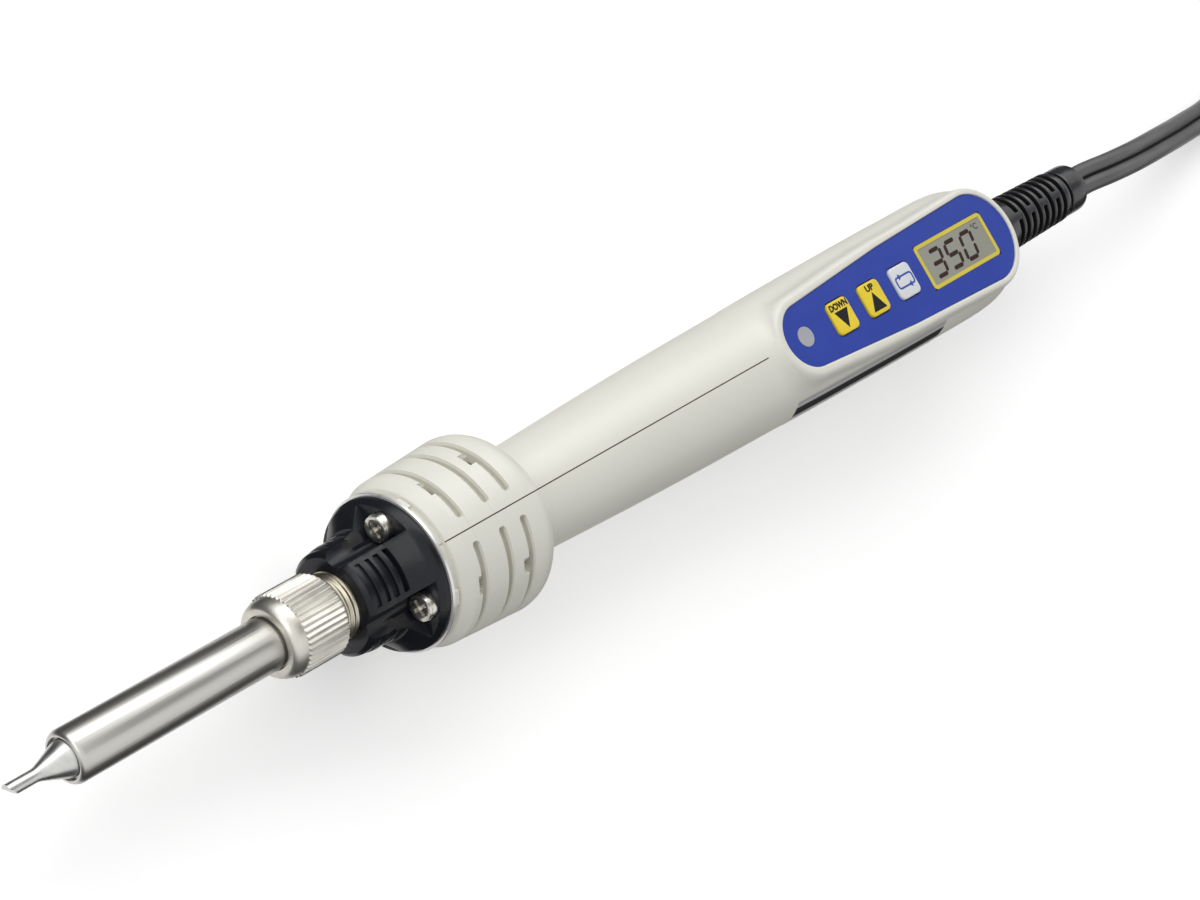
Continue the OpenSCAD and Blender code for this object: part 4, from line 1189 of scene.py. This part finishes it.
def area(name, loc, size_x, size_y, energy):
    """Rectangular lamp that faces the part's front half."""
    d = bpy.data.lights.new(name, "AREA")
    d.energy = energy
    d.shape = "RECTANGLE"
    d.size = size_x
    d.size_y = size_y
    ob = new_object(name, d)
    ob.location = loc
    ob.rotation_euler = (Vector((0.02, 0, 0.01)) - Vector(loc)).to_track_quat("-Z", "Y").to_euler()


def background_rays(n, l):
    """1 for rays that see the white background: the camera's, and those off gloss or through glass."""
    rays = n.new("ShaderNodeLightPath")
    seen = rays.outputs["Is Camera Ray"]
    for kind in ("Is Transmission Ray", "Is Glossy Ray"):
        either = n.new("ShaderNodeMath")
        either.operation = "MAXIMUM"
        l.new(seen, either.inputs[0])
        l.new(rays.outputs[kind], either.inputs[1])
        seen = either.outputs[0]
    return seen


def white_world():
    """White to the camera and to reflections, dimmer as a light."""
    w = bpy.data.worlds.new("studio")
    bpy.context.scene.world = w
    w.use_nodes = True
    n, l = w.node_tree.nodes, w.node_tree.links
    bg = put(n["Background"], Color=(1, 1, 1, 1))
    level = put(n.new("ShaderNodeMapRange"), To_Min=WORLD, To_Max=1.0)
    l.new(background_rays(n, l), level.inputs["Value"])
    l.new(level.outputs["Result"], bg.inputs["Strength"])


def floor():
    """Pale floor that glows a little for the camera, so that it stays near white."""
    me = bpy.data.meshes.new("floor")
    s = 3.0
    me.from_pydata([(-s, -s, 0), (s, -s, 0), (s, s, 0), (-s, s, 0)], [], [(0, 1, 2, 3)])
    ob = new_object("floor", me)
    m, nt, b = new_material("pale_floor")
    n, l = nt.nodes, nt.links
    put(b, Base_Color=(0.82, 0.82, 0.82, 1), Roughness=0.9, Specular_IOR_Level=0.1,
        Emission_Color=(1, 1, 1, 1))
    glow = put(n.new("ShaderNodeMapRange"), To_Min=0.0, To_Max=FLOOR_GLOW)
    l.new(background_rays(n, l), glow.inputs["Value"])
    l.new(glow.outputs["Result"], b.inputs["Emission Strength"])
    me.materials.append(m)


def flag(name, corners, level):
    """Dark studio card that only reflections see, for the dark lines along metal."""
    me = bpy.data.meshes.new(name)
    me.from_pydata(corners, [], [(0, 1, 2, 3)])
    ob = new_object(name, me)
    m, nt, _ = new_material(name)
    nt.nodes.clear()
    em = put(nt.nodes.new("ShaderNodeEmission"), Color=(1, 1, 1, 1), Strength=level)
    out = nt.nodes.new("ShaderNodeOutputMaterial")
    nt.links.new(em.outputs["Emission"], out.inputs["Surface"])
    me.materials.append(m)
    ob.visible_camera = False
    ob.visible_diffuse = False
    ob.visible_shadow = False
    ob.visible_transmission = False


def low_card(name, side, out, top, level):
    """Card along one side of the part, from near its foot up and outwards."""
    y0, y1 = side * 0.017, side * out
    flag(name, [(-0.3, y0, 0.001), (0.6, y0, 0.001), (0.6, y1, top), (-0.3, y1, top)], level)


def flags():
    flag("top_card", [(0.0, -0.20, 0.5), (0.95, -0.20, 0.5), (0.95, 0.05, 0.5), (0.0, 0.05, 0.5)], 0.22)
    low_card("near_card", -1, 0.075, 0.028, 0.03)
    low_card("far_card", 1, 0.12, 0.05, 0.04)


def lights():
    area("soft_box", (0.22, 0.68, 0.62), 1.4, 0.6, KEY)
    area("front_box", (-0.85, 0.35, 0.75), 0.8, 0.8, FRONT)


flags()
white_world()
floor()
lights()
bpy.context.scene.view_settings.view_transform = "Standard"
